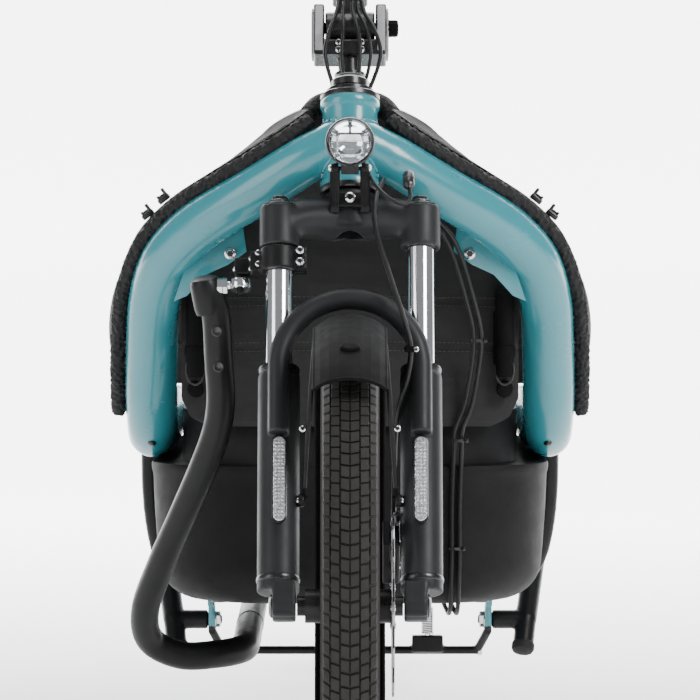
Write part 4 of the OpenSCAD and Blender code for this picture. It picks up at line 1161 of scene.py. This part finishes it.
bracket = Piece()
for side in (-1, 1):
    x = side * 15.5
    line = smooth([(x, 151, 656), (x, 148, 664), (x, 136, 678), (x, 124, 691), (x, 116, 700)], 6)
    for shift in (-2.2, 0, 2.2):
        bracket.tube([p + Vector((shift, 0, 0)) for p in line], [3.4, 3.0, 3.0], 14)
    bracket.lathe([(2.6, -3.6), (5.4, -3.6), (5.8, -3), (5.8, 3), (5.4, 3.6), (2.6, 3.6)],
                  (x, 116, 700), X, 36, loop=True)
    bracket.paint = 1
    bracket.bolt((side * 19.2, 116, 700), (side, 0, 0), 7.6, 3)
    bracket.paint = 0
bracket.lathe([(2.2, -16), (2.2, 16)], (0, 116, 700), X, 20)
bracket.at = FORK
bracket.block((0, -30.6, 431), (41, 7, 17), 2.4)
bracket.paint = 1
bracket.bolt((0, -34, 432), FRONT, 11.5, 4.4)
bracket.done("lamp_bracket_bars", "fork", "matt_black_metal", [BLACK_METAL, BOLT, SATIN_BLACK],
             ["lamp_bracket"])

cord("lamp_lead", [(4, 133.5, 724), (9, 135.2, 715), (15, 134, 704), (24, 120, 686),
                   (38, 105, 671), (54, 104, 664), (61, 111, 670), (60, 121, 683)], 4.0, "fork",
     8, ["lamp_cable"], ("lamp", "fork"))
plug = Piece(turned((60, 128, 688), math.radians(50)))
plug.lathe([(2.2, -13), (3.6, -11), (5.6, -9), (6, -8), (6, -1), (6.6, -0.6), (6.6, 1.4),
            (6, 1.8), (6, 8), (5.4, 9.4), (2.4, 10)], sides=32,
           shape=lambda t, h: 1 + (0.04 * math.cos(t * 8) if abs(h) > 2 else 0))
plug.done("lamp_connector", "fork", "belt_rubber", SATIN_BLACK)

# Front fender with rolled edges and a plain badge
repaint(FENDER, "front_fender", "rear_fender")


def on_wheel(centre, r, degrees_from_top, x=0.0):
    return round_axle(centre, x, r, math.radians(degrees_from_top))


def fender_trim(centre, outer, half, start, stop):
    """Rolled edges; the fender's section is an arc of 60 degrees each way, 14 mm deep."""

    def fall(k):
        return 14 * (1 - math.cos(math.radians(k))) / 0.5

    def edge_x(k):
        return (half - 0.4) * math.sin(math.radians(k)) / math.sin(math.radians(60))

    piece = Piece()
    for side in (-1, 1):
        path = [on_wheel(centre, outer - fall(60) - 1.0, start + (stop - start) * k / 70,
                         side * (half - 0.4)) for k in range(71)]
        piece.tube(path, 1.9, 12)
    for end in (start, stop):
        path = [on_wheel(centre, outer - fall(k) - 1.2, end, edge_x(k))
                for k in range(-60, 61, 6)]
        piece.tube(path, 1.9, 12)
    return piece


trim = fender_trim(AXLE, 292, 35.5, -36, 117)
trim.skin([[on_wheel(AXLE, r, -25.5 + spread * math.sin(t), half * math.cos(t))
            for t in angles(40)]
           for r, spread, half in ((288, 1.6, 10.4), (293.4, 1.5, 10), (294.6, 1.2, 8.4))])
trim.paint = 1
for side in (-1, 1):
    trim.bolt((side * 47.5, 24, 440), (0, -1, 0.2), 7, 2.6)
trim.done("front_fender_trim", "lowers", "fender_black", [FENDER, BOLT, SATIN_BLACK])

stays = Piece()
for side in (-1, 1):
    stays.lathe([(3, -3), (6, -3), (6.6, -2), (6.6, 2), (6, 3), (3, 3)],
                (side * 49, 37, 367), X, 28, loop=True)
    stays.paint = 1
    stays.bolt((side * 52, 37, 367), (side, 0, 0), 6.6, 2.6)
    stays.paint = 0
    path = smooth([(side * 34, 10, 542), (side * 40, 20, 470), (side * 46, 34, 380)], 8)
    stays.tube(path, 2.4, 12)
stays.done("front_fender_stays", "lowers", "matt_black_metal", [BLACK_METAL, BOLT, SATIN_BLACK])

cast("front_caliper", "lowers", BLACK_METAL, 0.9, 5)
caliper = Piece(turned((0, 66, 318), math.radians(-45)))
for z in (-24, 18):
    caliper.bolt((50, -4, z), X, 7, 3)
caliper.paint = 2
caliper.lathe([(3.2, 0), (3.6, 2), (4.4, 3), (4.4, 9), (3, 11), (3, 16)], (46, 6, 28), Z,
              28)
caliper.done("caliper_screws", "lowers", "chrome_steel", [BOLT, SATIN_BLACK, STEEL])

HOSE = [(34, 158, 688), (26, 128, 668), (26, 100, 640), (40, 74, 593), (54, 54, 550),
        (61, 46, 520), (58, 50, 490), (50, 62, 462), (46, 90, 430), (45, 104, 390),
        (44, 84, 345)]
cord("front_brake_hose", HOSE, 5.2, "lowers", 8, ["brake_hose"], ("fork", "lowers"))
clip = Piece()
clip.block((61, 47, 519), (13, 9, 6.5), 2.0)
clip.paint = 1
clip.bolt((66.5, 42.5, 519), FRONT, 5.6, 2.4)
clip.done("hose_clip", "lowers", "fender_black", [FENDER, BOLT, SATIN_BLACK])

CABLES = [(72, 216, 655), (92, 232, 636), (106, 244, 612), (122, 266, 560), (130, 290, 518),
          (122, 312, 455), (111, 318, 424), (110, 328, 402), (108, 330, 340), (108, 330, 290),
          (107, 334, 250), (106, 350, 228), (104, 400, 224), (100, 600, 224)]
cord("front_cable_inner", CABLES, 5.0, "frame", 6, ["front_cables"])
cord("front_cable_outer", [(x + 8, d, z) for x, d, z in CABLES], 5.0, "frame", 6,
     ["front_cables"])
ties = Piece()
for x, d, z in ((134, 290, 518), (115, 322, 411), (112, 330, 296)):
    ties.skin([ring_at(x, d, z + lift, 7.6 - thin, 3.6 - thin, 32)
               for lift, thin in ((-1.6, 0), (1.6, 0), (1.6, 0.7), (-1.6, 0.7))], loop=True)
    ties.block((x + 8.2, d - 1, z), (3.4, 4.4, 4.2), 0.6)
    ties.block((x + 8.8, d - 6, z), (1, 9, 2.2), 0.4)
ties.done("cable_ties", "frame", "fender_black", SATIN_BLACK)


# ------------------------------------------------------------------ steering gear

ROD = [(-148, 158, 580), (-138, 162, 552), (-135, 170, 504), (-133, 182, 462), (-138, 196, 428),
       (-152, 214, 389), (-174, 242, 338), (-198, 276, 284), (-216, 312, 234), (-212, 346, 198),
       (-180, 362, 180), (-142, 374, 180), (-116, 400, 183), (-112, 460, 185), (-112, 600, 185),
       (-112, 780, 185), (-112, 945, 185)]
rod = Piece()
path = smooth(ROD, 8)
rod.tube(path, [14.6, 15, 15, 15, 15], 36)
top = path[0]
down = (path[14] - path[0]).normalized()
rod.lathe([(9, -9), (13.6, -7), (16.2, -2), (16.4, 22), (15.6, 27), (15.1, 29)], top, down, 40)
rod.lathe([(14.9, 0), (15.5, 1), (15.5, 16), (14.8, 17.4)], path[-14], Y, 40)
rod.paint = 1
for k in (11, 17):
    p = path[k]
    rod.lathe([(5.6, 0), (5.6, 0.9), (4.6, 1.2), (2.6, 0.4), (0.2, 0.2)],
              p + Vector((0, -14.7, -2)), (0, -1, -0.12), 28)
rod.paint = 0
rod.done("steering_rod_tube", "rod", "matt_black_metal", [BLACK_METAL, SATIN_BLACK],
         ["steering_rod"])
repaint(CHROME, "rod_joint")
BALL_UP = 351
nuts = Piece(turned((-112, FORK_FOOT[1] + BALL_UP * math.sin(RAKE),
                     FORK_FOOT[2] + BALL_UP * math.cos(RAKE)), RAKE))
nuts.lathe([(8, 0), (8.6, 0.8), (8.6, 4.8), (8, 5.6)], (-18.6, 0, -2), X, 6)
nuts.lathe([(4.4, -8), (5.2, -7), (5.2, 0), (4.4, 1)], (-27, 0, -2), X, 28)
nuts.lathe([(9.8, -6.6), (11.4, -5.4), (12, -2), (11.4, 1.6), (9.8, 2.8)], (0, 0, 0),
           Z, 44, loop=True)
nuts.done("rod_eye_rings", "rod", "chrome_steel", [CHROME], sharp=25)

repaint(SATIN_BLACK, "steering_shaft")
cast("stem_base", "column", SATIN_BLACK, 1.4, 5)
stem = Piece(MAST)
# The side cheeks and front strips take the pale grey pad material; on them that grey is painted
# sheen, for the light these faces catch.
for side in (-1, 1):
    stem.paint = 0
    stem.block((side * 45.2, 1, 712), (2.2, 30, 58), 1.0)
    for k in range(9):
        stem.block((side * 46.4, 1, 688 + k * 6), (1.2, 24, 2.6), 0.5)
    stem.paint = 1
    stem.block((side * 37.5, -23.4, 712), (9, 2.4, 58), 1.0)
    stem.paint = 2
    for z in (684, 693):
        stem.bolt((side * 14, -22.6, z), FRONT, 8, 4)
stem.paint = 4
stem.lathe([(9.4, 44), (10.2, 45), (10.2, 56), (9, 58.4), (4, 59)], (0, 0, 720), X, 32,
           shape=knurl(0.05, 9))
stem.done("stem_pads", "column", "matt_black_metal",
          [GREY_PAD_AND_PAINTED_SHEEN, GREY_PAD_AND_PAINTED_SHEEN, BOLT, SATIN_BLACK, FENDER])

cast("handlebar", "handlebar", SATIN_BLACK, 1.7, 4)
bar = Piece(MAST)
for side in (-1, 1):
    a, b = Vector((side * 214, 59, 937)), Vector((side * 334, 79, 919.5))
    axis = (b - a).normalized()
    length = (b - a).length
    profile = [(12.2, 0), (16.4, 0.4), (17.4, 2), (17.4, 6), (15.6, 8)]
    h = 10
    while h < length - 14:
        profile += [(15.4, h), (16.2, h + 0.8), (16.2, h + 3.2), (15.4, h + 4)]
        h += 5.4
    profile += [(15.8, length - 10), (17.2, length - 8), (17.4, length - 2), (16, length),
                (4, length + 0.4)]
    bar.lathe(profile, a, axis, 40)
bar.done("grip_sleeves", "handlebar", "grip_rubber", GRIP, ["grips"])
cast("bar_controls", "handlebar", SATIN_BLACK, 1.1, 5)
controls = Piece(MAST @ Matrix.Translation((-34, -20, 963)) @ Matrix.Rotation(0.5236, 4, "X"))
controls.block((34, 26, 12.4), (58, 42, 1.4), 0.6)
controls.paint = 1
for x in (18, 34, 50):
    controls.block((x, 3.2, 12.6), (9, 3, 1.6), 0.7)
controls.at = MAST
controls.paint = 2
controls.lathe([(20.6, 0), (21, 2), (21, 9), (19, 14), (12, 17.4), (3, 18.4), (3, 20.5),
                (1, 21.5)], (96, 4, 956), Z, 44)
controls.paint = 3
for side in (-1, 1):
    controls.bolt((side * 186, 48 + 19, 941), Y, 6, 3)
    controls.bolt((side * 187, 14, 950), Z, 7, 2.4)
controls.done("bar_details", "handlebar", "matt_black_metal",
              [SCREEN, GREY_PAD_AND_PAINTED_SHEEN, BLACK_METAL, BOLT, SATIN_BLACK])
for _, name in SIDES:
    cast("brake_lever_" + name, "lever_" + name, SATIN_BLACK, 0.8, 4)

for side, name in SIDES:
    cord("lever_hose_" + name,
         [(side * 132, 4, 934), (side * 112, -10, 926), (side * 84, -24, 902),
          (side * 52, -34, 868), (side * 26, -34, 830), (side * 14, -28, 790),
          (side * 12, -24, 752)], 5.0, "handlebar", 8, at=MAST)

# Control cables that fan down in front of the shaft into a guide on the mast
for k, (x, bulge, foot, d) in enumerate(((-14, -30, -11, 5.0), (-7, -10, -5.5, 4.4),
                                         (3, 12, 0, 5.0), (9, 25, 5.5, 4.4),
                                         (15, 37, 11, 5.0))):
    line = smooth([(x, -27, 744), (x * 1.2, -36, 726), (bulge * 0.8, -47 - 2 * (k % 2), 700),
                   (bulge, -49, 668), (bulge * 0.7, -42, 632), (foot, -34, 604),
                   (foot, -31, 584), (foot, -30.5, 560)], 8)
    cord("stem_cable_top_%d" % (k + 1), line[:25], d, "column", 1,
         bend=("handlebar", "column"), at=MAST)
    cord("stem_cable_%d" % (k + 1), line[24:], d, "column", 1,
         bend=("column", "frame"), at=MAST)
guide = Piece(MAST)
guide.block((0, -29.5, 572), (36, 11, 16), 3.0)
guide.lathe([(22.9, 566), (24.4, 566.6), (24.4, 577.4), (22.9, 578)], sides=48, loop=True)
guide.paint = 1
guide.bolt((0, -35, 572), FRONT, 6, 2.6)
guide.done("cable_guide", "frame", "fender_black", [SATIN_BLACK, BOLT, SATIN_BLACK])


# ------------------------------------------------------------------ drive and rear end

cast("motor", "frame", DRIVE, 2.0, 6)
motor = Piece()
for side in (-1, 1):
    for k in range(7):
        a = math.radians(360 * k / 7 + 12)
        motor.bolt(round_axle(CRANK, side * 44.4, 43, a), (side, 0, 0), 6.6, 2.6)
motor.paint = 2
for side in (-1, 1):
    motor.lathe([(30, 73.2), (36, 73.6), (37.6, 75), (36, 76), (28, 76.2), (26, 74.4)],
                CRANK, (side, 0, 0), 56)
    motor.lathe([(46.4, 10), (48.9, 10.6), (48.9, 12.6), (46.4, 13.2)], CRANK, (side, 0, 0), 72,
                loop=True)
motor.done("motor_cover_parts", "frame", "drive_plastic", [BOLT, SATIN_BLACK, DRIVE])

cast("battery", "frame", DRIVE, 2.0, 7)
power = Piece(turned((0, 1180, 343), math.radians(2.7)))
for side in (-1, 1):
    power.block((side * 43.1, 160, 31), (1.4, 292, 5), 0.6)
    power.block((side * 43.2, 160, 46), (1.2, 240, 2.4), 0.5)
power.block((0, 120, 72.6), (44, 150, 3), 1.2)
power.paint = 1
power.lathe([(7, 0), (8, 1), (8, 2.4), (6, 3), (3, 2), (0.2, 2)], (43.2, 296, 22), X, 30)
power.paint = 2
for k in range(5):
    power.block((24 - 9 * k, 210, 72.4), (5, 3, 1.4), 0.5)
power.done("battery_rails", "frame", "drive_plastic", [SATIN_BLACK, BOLT, GREY_PAD_AND_PAINTED_SHEEN])

# The belt runs round the crank pulley and the smaller rear one, 57 mm to the right
belt = Piece(turned((-57, 0, 0)))
pulley, cog = 64, 34
span = Vector(REAR) - Vector(CRANK)
lean = math.atan2(span.z, span.y)
gap = math.acos((pulley - cog) / span.length)
loop = []
for k in range(61):
    a = lean + gap + (2 * math.pi - 2 * gap) * k / 60
    loop.append(Vector((0, CRANK[1] + (pulley + 0.3) * math.cos(a),
                        CRANK[2] + (pulley + 0.3) * math.sin(a))))
for k in range(41):
    a = lean - gap + 2 * gap * k / 40
    loop.append(Vector((0, REAR[1] + (cog + 0.3) * math.cos(a),
                        REAR[2] + (cog + 0.3) * math.sin(a))))
dense = []
for i, p in enumerate(loop):
    q = loop[(i + 1) % len(loop)]
    steps = max(1, int((q - p).length / 8))
    dense += [p.lerp(q, k / steps) for k in range(steps)]
rings = []
for i, p in enumerate(dense):
    t = (dense[(i + 1) % len(dense)] - dense[i - 1]).normalized()
    out = Vector((0, t.z, -t.y))
    rings.append([p + Vector(X) * x + out * h for x, h in
                  ((-5, -0.9), (-5, 1.0), (-4.2, 1.6), (-1, 1.2), (1, 1.2), (4.2, 1.6), (5, 1.0),
                   (5, -0.9))])
belt.skin(rings, loop=True)
run = sum((dense[(i + 1) % len(dense)] - p).length for i, p in enumerate(dense))
travelled, due, step = 0.0, 0.0, run / round(run / 11)
for i, p in enumerate(dense):
    q = dense[(i + 1) % len(dense)]
    length = (q - p).length
    while due < travelled + length - 1e-6:
        c = p.lerp(q, (due - travelled) / length)
        t = (q - p).normalized()
        out = Vector((0, t.z, -t.y))
        belt.skin([[c + out * h + t * w + Vector((x, 0, 0)) for w, h in
                    ((-2.8, -0.4), (-1.9, -3.0), (1.9, -3.0), (2.8, -0.4))] for x in (-4.6, 4.6)])
        due += step
    travelled += length
belt.done("toothed_belt", "frame", "belt_rubber", CABLE, ["belt"])

cast("crank_set", "crank", SATIN_BLACK, 1.3, 4)
crank = Piece()
for k in range(5):
    a = math.radians(72 * k)
    crank.bolt((-62.2, 1620 - 46 * math.sin(a), 290 + 46 * math.cos(a)), (-1, 0, 0), 9, 2.6)
for side in (-1, 1):
    crank.bolt((side * 88.2, *CRANK[1:]), (side, 0, 0), 16, 2.6)
crank.done("crank_screws", "crank", "chrome_steel", [BOLT, SATIN_BLACK])
for side, name in SIDES:
    repaint(FENDER, "pedal_" + name)
    pedal = Piece(turned((side * 140, CRANK[1] - side * 172, CRANK[2])))
    for z in (-12.4, 12.4):
        for y in (-48, -4, 4, 48):
            for x in range(-36, 37, 9):
                pedal.block((x, y, z), (5.4, 2.6, 1.6), 0.5)
    pedal.paint = 1
    for y in (-50.4, 50.4):
        for x in (-24, 24):
            pedal.block((x, y, 0), (26, 1.8, 13), 0.7)
    pedal.paint = 2
    pedal.lathe([(8, 0), (9, 1), (9, 5), (7, 6.4), (3, 6.6)], (side * 36, 0, 0), (side, 0, 0), 28)
    pedal.done("pedal_grip_" + name, name + "_pedal", "belt_rubber", [GRIP, AMBER, SATIN_BLACK])

seat_parts = Piece(SEAT)
seat_parts.bolt((6.4, 25, 361), X, 8.4, 3.4)
seat_parts.lathe([(15.6, 368.6), (18, 368.6), (18.6, 369.6), (18, 371), (15.6, 371.4)], sides=44,
                 loop=True)
seat_parts.done("seat_clamp_screw", "frame", "chrome_steel", [BOLT, SATIN_BLACK])
cast("seat_post", "seat", SATIN_BLACK, 1.3, 4)

rear_trim = fender_trim(REAR, 352, 36, -65, 100)
rear_trim.paint = 1
for side in (-1, 1):
    rear_trim.bolt((side * 34.4, 2220, 641), (side, 0, 0), 7, 2.6)
rear_trim.done("rear_fender_trim", "frame", "fender_black", [FENDER, BOLT, SATIN_BLACK])

tail = Piece(turned((0, 2270, 625), math.radians(35)))
tail.block((0, -0.4, 13), (51, 15, 23), 4.5)
tail.block((0, 4, 13), (52, 5, 24.4), 2.2)
tail.paint = 1
tail.block((0, 8.2, 13), (43, 5, 18.6), 2.2)
tail.paint = 2
for x in (-12, 0, 12):
    tail.lathe([(4.6, 0), (4.6, 1.2), (3, 2.2), (0.2, 2.4)], (x, 10, 13), Y, 24)
tail.done("tail_lamp", "frame", "red_lens", [SATIN_BLACK, RED, RED], ["rear_light"])

dropout = Piece()
for side in (-1, 1):
    dropout.bolt((side * 77.2, *REAR[1:]), (side, 0, 0), 17, 8, True)
    dropout.bolt((side * 77.2, 2052, 388), (side, 0, 0), 7, 2.6)
    weld(dropout, [Vector((side * 73 + 9.2 * math.cos(t), 2012 + 2 * math.sin(t),
                           326 + 9.2 * math.sin(t))) for t in angles(40)], 1.6)
dropout.done("dropout_nuts", "frame", "chrome_steel", [BOLT, SATIN_BLACK])


# ------------------------------------------------------------------ saddle

def saddle_pad():
    """The saddle swells by a short cloth simulation, then gets its centre channel."""
    low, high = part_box("saddle")
    centre = middle(low, high)
    obj = rounded_copy("saddle", "saddle_cover", 5, 3, 0.955)
    rest = [v.co.copy() for v in obj.data.vertices]
    scene = bpy.context.scene
    under = obj.vertex_groups.new(name="shell")
    bottom = low[2] + 16 * MM
    under.add([v.index for v in obj.data.vertices if v.co.z < bottom], 1.0, "REPLACE")
    cloth = obj.modifiers.new("cloth", "CLOTH")
    cloth.settings.quality = 6
    cloth.settings.use_pressure = True
    cloth.settings.uniform_pressure_force = 4.0
    cloth.settings.tension_stiffness = 25
    cloth.settings.effector_weights.gravity = 0
    cloth.settings.vertex_group_mass = "shell"
    cloth.point_cache.frame_start = 1
    cloth.point_cache.frame_end = 20
    for step in range(1, 21):
        scene.frame_set(step)
    apply(obj)
    scene.frame_set(1)
    # The cover moves 7 mm at most, and the channel runs along its middle
    cap = 7 * MM
    for v, was in zip(obj.data.vertices, rest):
        move = v.co - was
        if move.length > cap:
            v.co = was + move * (cap / move.length)
        s = (v.co.y - low[1]) / (high[1] - low[1])
        if v.co.z > centre.z and 0.18 < s < 0.98:
            fade = min(1, (s - 0.18) / 0.25, (0.98 - s) / 0.1)
            v.co.z -= 5 * MM * fade * math.exp(-(v.co.x / (9 * MM)) ** 2)
    mod = obj.modifiers.new("fine", "SUBSURF")
    mod.levels = mod.render_levels = 1
    apply(obj)
    obj.data.materials.append(LEATHER)
    shade_smooth(obj)
    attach(obj, "seat")
    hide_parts("saddle")
    return obj


pad = saddle_pad()
hits = [v.co / MM for v in pad.data.vertices]
low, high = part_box("saddle")
piping = Piece(Matrix.Scale(MM, 4))
for side in (-1, 1):
    line = []
    for k in range(4, 49):
        s = k / 50
        y = (low[1] + (high[1] - low[1]) * s) / MM
        near = [p for p in hits if abs(p.y - y) < 6 and p.x * side > 0
                and p.z > (high[2] / MM - 52)]
        if not near:
            continue
        edge = max(near, key=lambda p: p.x * side + 0.25 * p.z)
        line.append(Vector((edge.x + side * 0.2, y, edge.z)))
    for _ in range(4):
        line = [line[0]] + [(a + b * 2 + c) / 4 for a, b, c in zip(line, line[1:], line[2:])] \
            + [line[-1]]
    piping.paint = 0
    piping.tube(smooth(line, 3), 1.3, 10)
    piping.paint = 1
    for a, b in zip(line, line[1:]):
        p = a.lerp(b, 0.25) + Vector((-side * 4.5, 0, 1.6))
        q = a.lerp(b, 0.8) + Vector((-side * 4.5, 0, 1.6))
        piping.stitch(p, q, 0.6)
piping.done("saddle_piping", "seat", "saddle_leather", [LEATHER, THREAD])


# ------------------------------------------------------------------ stand

cast("stand_legs", "stand", BLACK_METAL, 1.8, 4)
feet = Piece()
for side in (-1, 1):
    foot = Vector((side * 224, 986, 286))
    axis = Vector((side * 3, 16, 17)).normalized()
    feet.lathe([(13.4, -8), (15.4, -6), (15.8, 0), (15.4, 14), (16, 17), (16, 21), (13, 24.4),
                (6, 25.4)], foot, axis, 36, shape=knurl(0.02, 14))
    end = Vector((side * 200, 862, 142))
    down = (end - Vector((side * 204, 880, 172))).normalized()
    feet.lathe([(12.2, -4), (13.2, -3), (13.2, 3), (11.6, 6), (7, 8), (1, 8.6)], end, down, 32)
feet.done("stand_feet", "stand", "matt_black_metal", GRIP)
pivots = Piece()
for side in (-1, 1):
    pivots.bolt((side * 155.8, 880, 172), (-side, 0, 0), 17, 6, True)
    pivots.bolt((side * 160, 834, 205), FRONT, 9, 4)
    pivots.lathe([(3.4, 0), (6, 1), (6, 5), (4, 6)], (side * 148, 902, 134), (side, 0, 0), 24)
coil = []
for k in range(241):
    t = 2 * math.pi * k / 16
    coil.append((90 + 6.2 * math.cos(t), 895 + 6.2 * math.sin(t), 154 + 30 * k / 240))
pivots.tube(coil, 1.1, 8)
pivots.lathe([(3.2, 150), (3.2, 190)], (90, 895, 0), Z, 16)
pivots.done("stand_pivots", "frame", "chrome_steel", [BOLT, SATIN_BLACK])


# ------------------------------------------------------------------ studio

def cove():
    """Pale floor that curves up into the backdrop."""
    piece = Piece(Matrix.Identity(4))
    rows = []
    for k in range(41):
        if k < 10:
            rows.append((-58 + 10 * k, 0.0))
        elif k < 31:
            t = math.pi / 2 * (k - 9) / 22
            rows.append((32 + 28 * math.sin(t), 28 * (1 - math.cos(t))))
        else:
            rows.append((60, 28 + 4.8 * (k - 30)))
    verts = []
    for y, z in rows:
        verts += [(-72, y, z), (72, y, z)]
    faces = [(2 * i, 2 * i + 1, 2 * i + 3, 2 * i + 2) for i in range(len(rows) - 1)]
    piece.add(verts, faces)
    mesh = bpy.data.meshes.new("cove")
    piece.bm.to_mesh(mesh)
    piece.bm.free()
    obj = linked("cove", mesh)
    mat = material("studio_white", (0.88, 0.88, 0.88), 0.9, 0.01, 0.5, 0.02, [("noise", 3, 0.05)])
    # The floor glows more with distance behind the front wheel, so that it fades to white
    n = Nodes(mat)
    depth = n.add("SeparateXYZ", {"Vector": n.coord}).outputs["Y"]
    lift = n.add("MapRange", {0: depth, 1: 0.4, 2: 3.6, 3: 0.7, 4: 5.0})
    n.shader.inputs["Emission Color"].default_value = (1, 1, 1, 1)
    n.link(lift.outputs[0], "Emission Strength")
    mesh.materials.append(mat)


cove()
world = bpy.data.worlds.new("studio")
world.use_nodes = True
world.node_tree.nodes["Background"].inputs["Color"].default_value = (0.95, 0.97, 1.0, 1)
world.node_tree.nodes["Background"].inputs["Strength"].default_value = 0.32
bpy.context.scene.world = world


def softbox(name, place, aim, size, power):
    light = bpy.data.lights.new(name, "AREA")
    light.shape = "RECTANGLE"
    light.size, light.size_y = size
    light.energy = power
    obj = linked(name, light)
    obj.location = place
    obj.rotation_euler = (Vector(aim) - Vector(place)).to_track_quat("-Z", "Y").to_euler()


softbox("key", (2.6, -3.6, 3.2), (0, -0.6, 0.5), (1.6, 2.2), 210)
softbox("fill", (-3.4, -3.4, 1.8), (0, -0.6, 0.5), (2.0, 2.6), 60)
softbox("top", (0.2, 0.2, 4.2), (0, -0.2, 0.5), (2.4, 3.6), 110)
softbox("rear", (-1.8, 4.2, 2.8), (0, 0.4, 0.5), (2.4, 2.0), 60)

# The photo's camera: about 5.5 m in front of the front axle, looking slightly down
camera = linked("camera", bpy.data.cameras.new("camera"))
camera.location = (0, -6.558, 0.743)
target = Vector((0, -BACK * MM, 0.520))
camera.rotation_euler = (target - camera.location).to_track_quat("-Z", "Y").to_euler()
camera.data.lens = 282.9
camera.data.sensor_width = 36
camera.data.clip_end = 400
bpy.context.scene.camera = camera
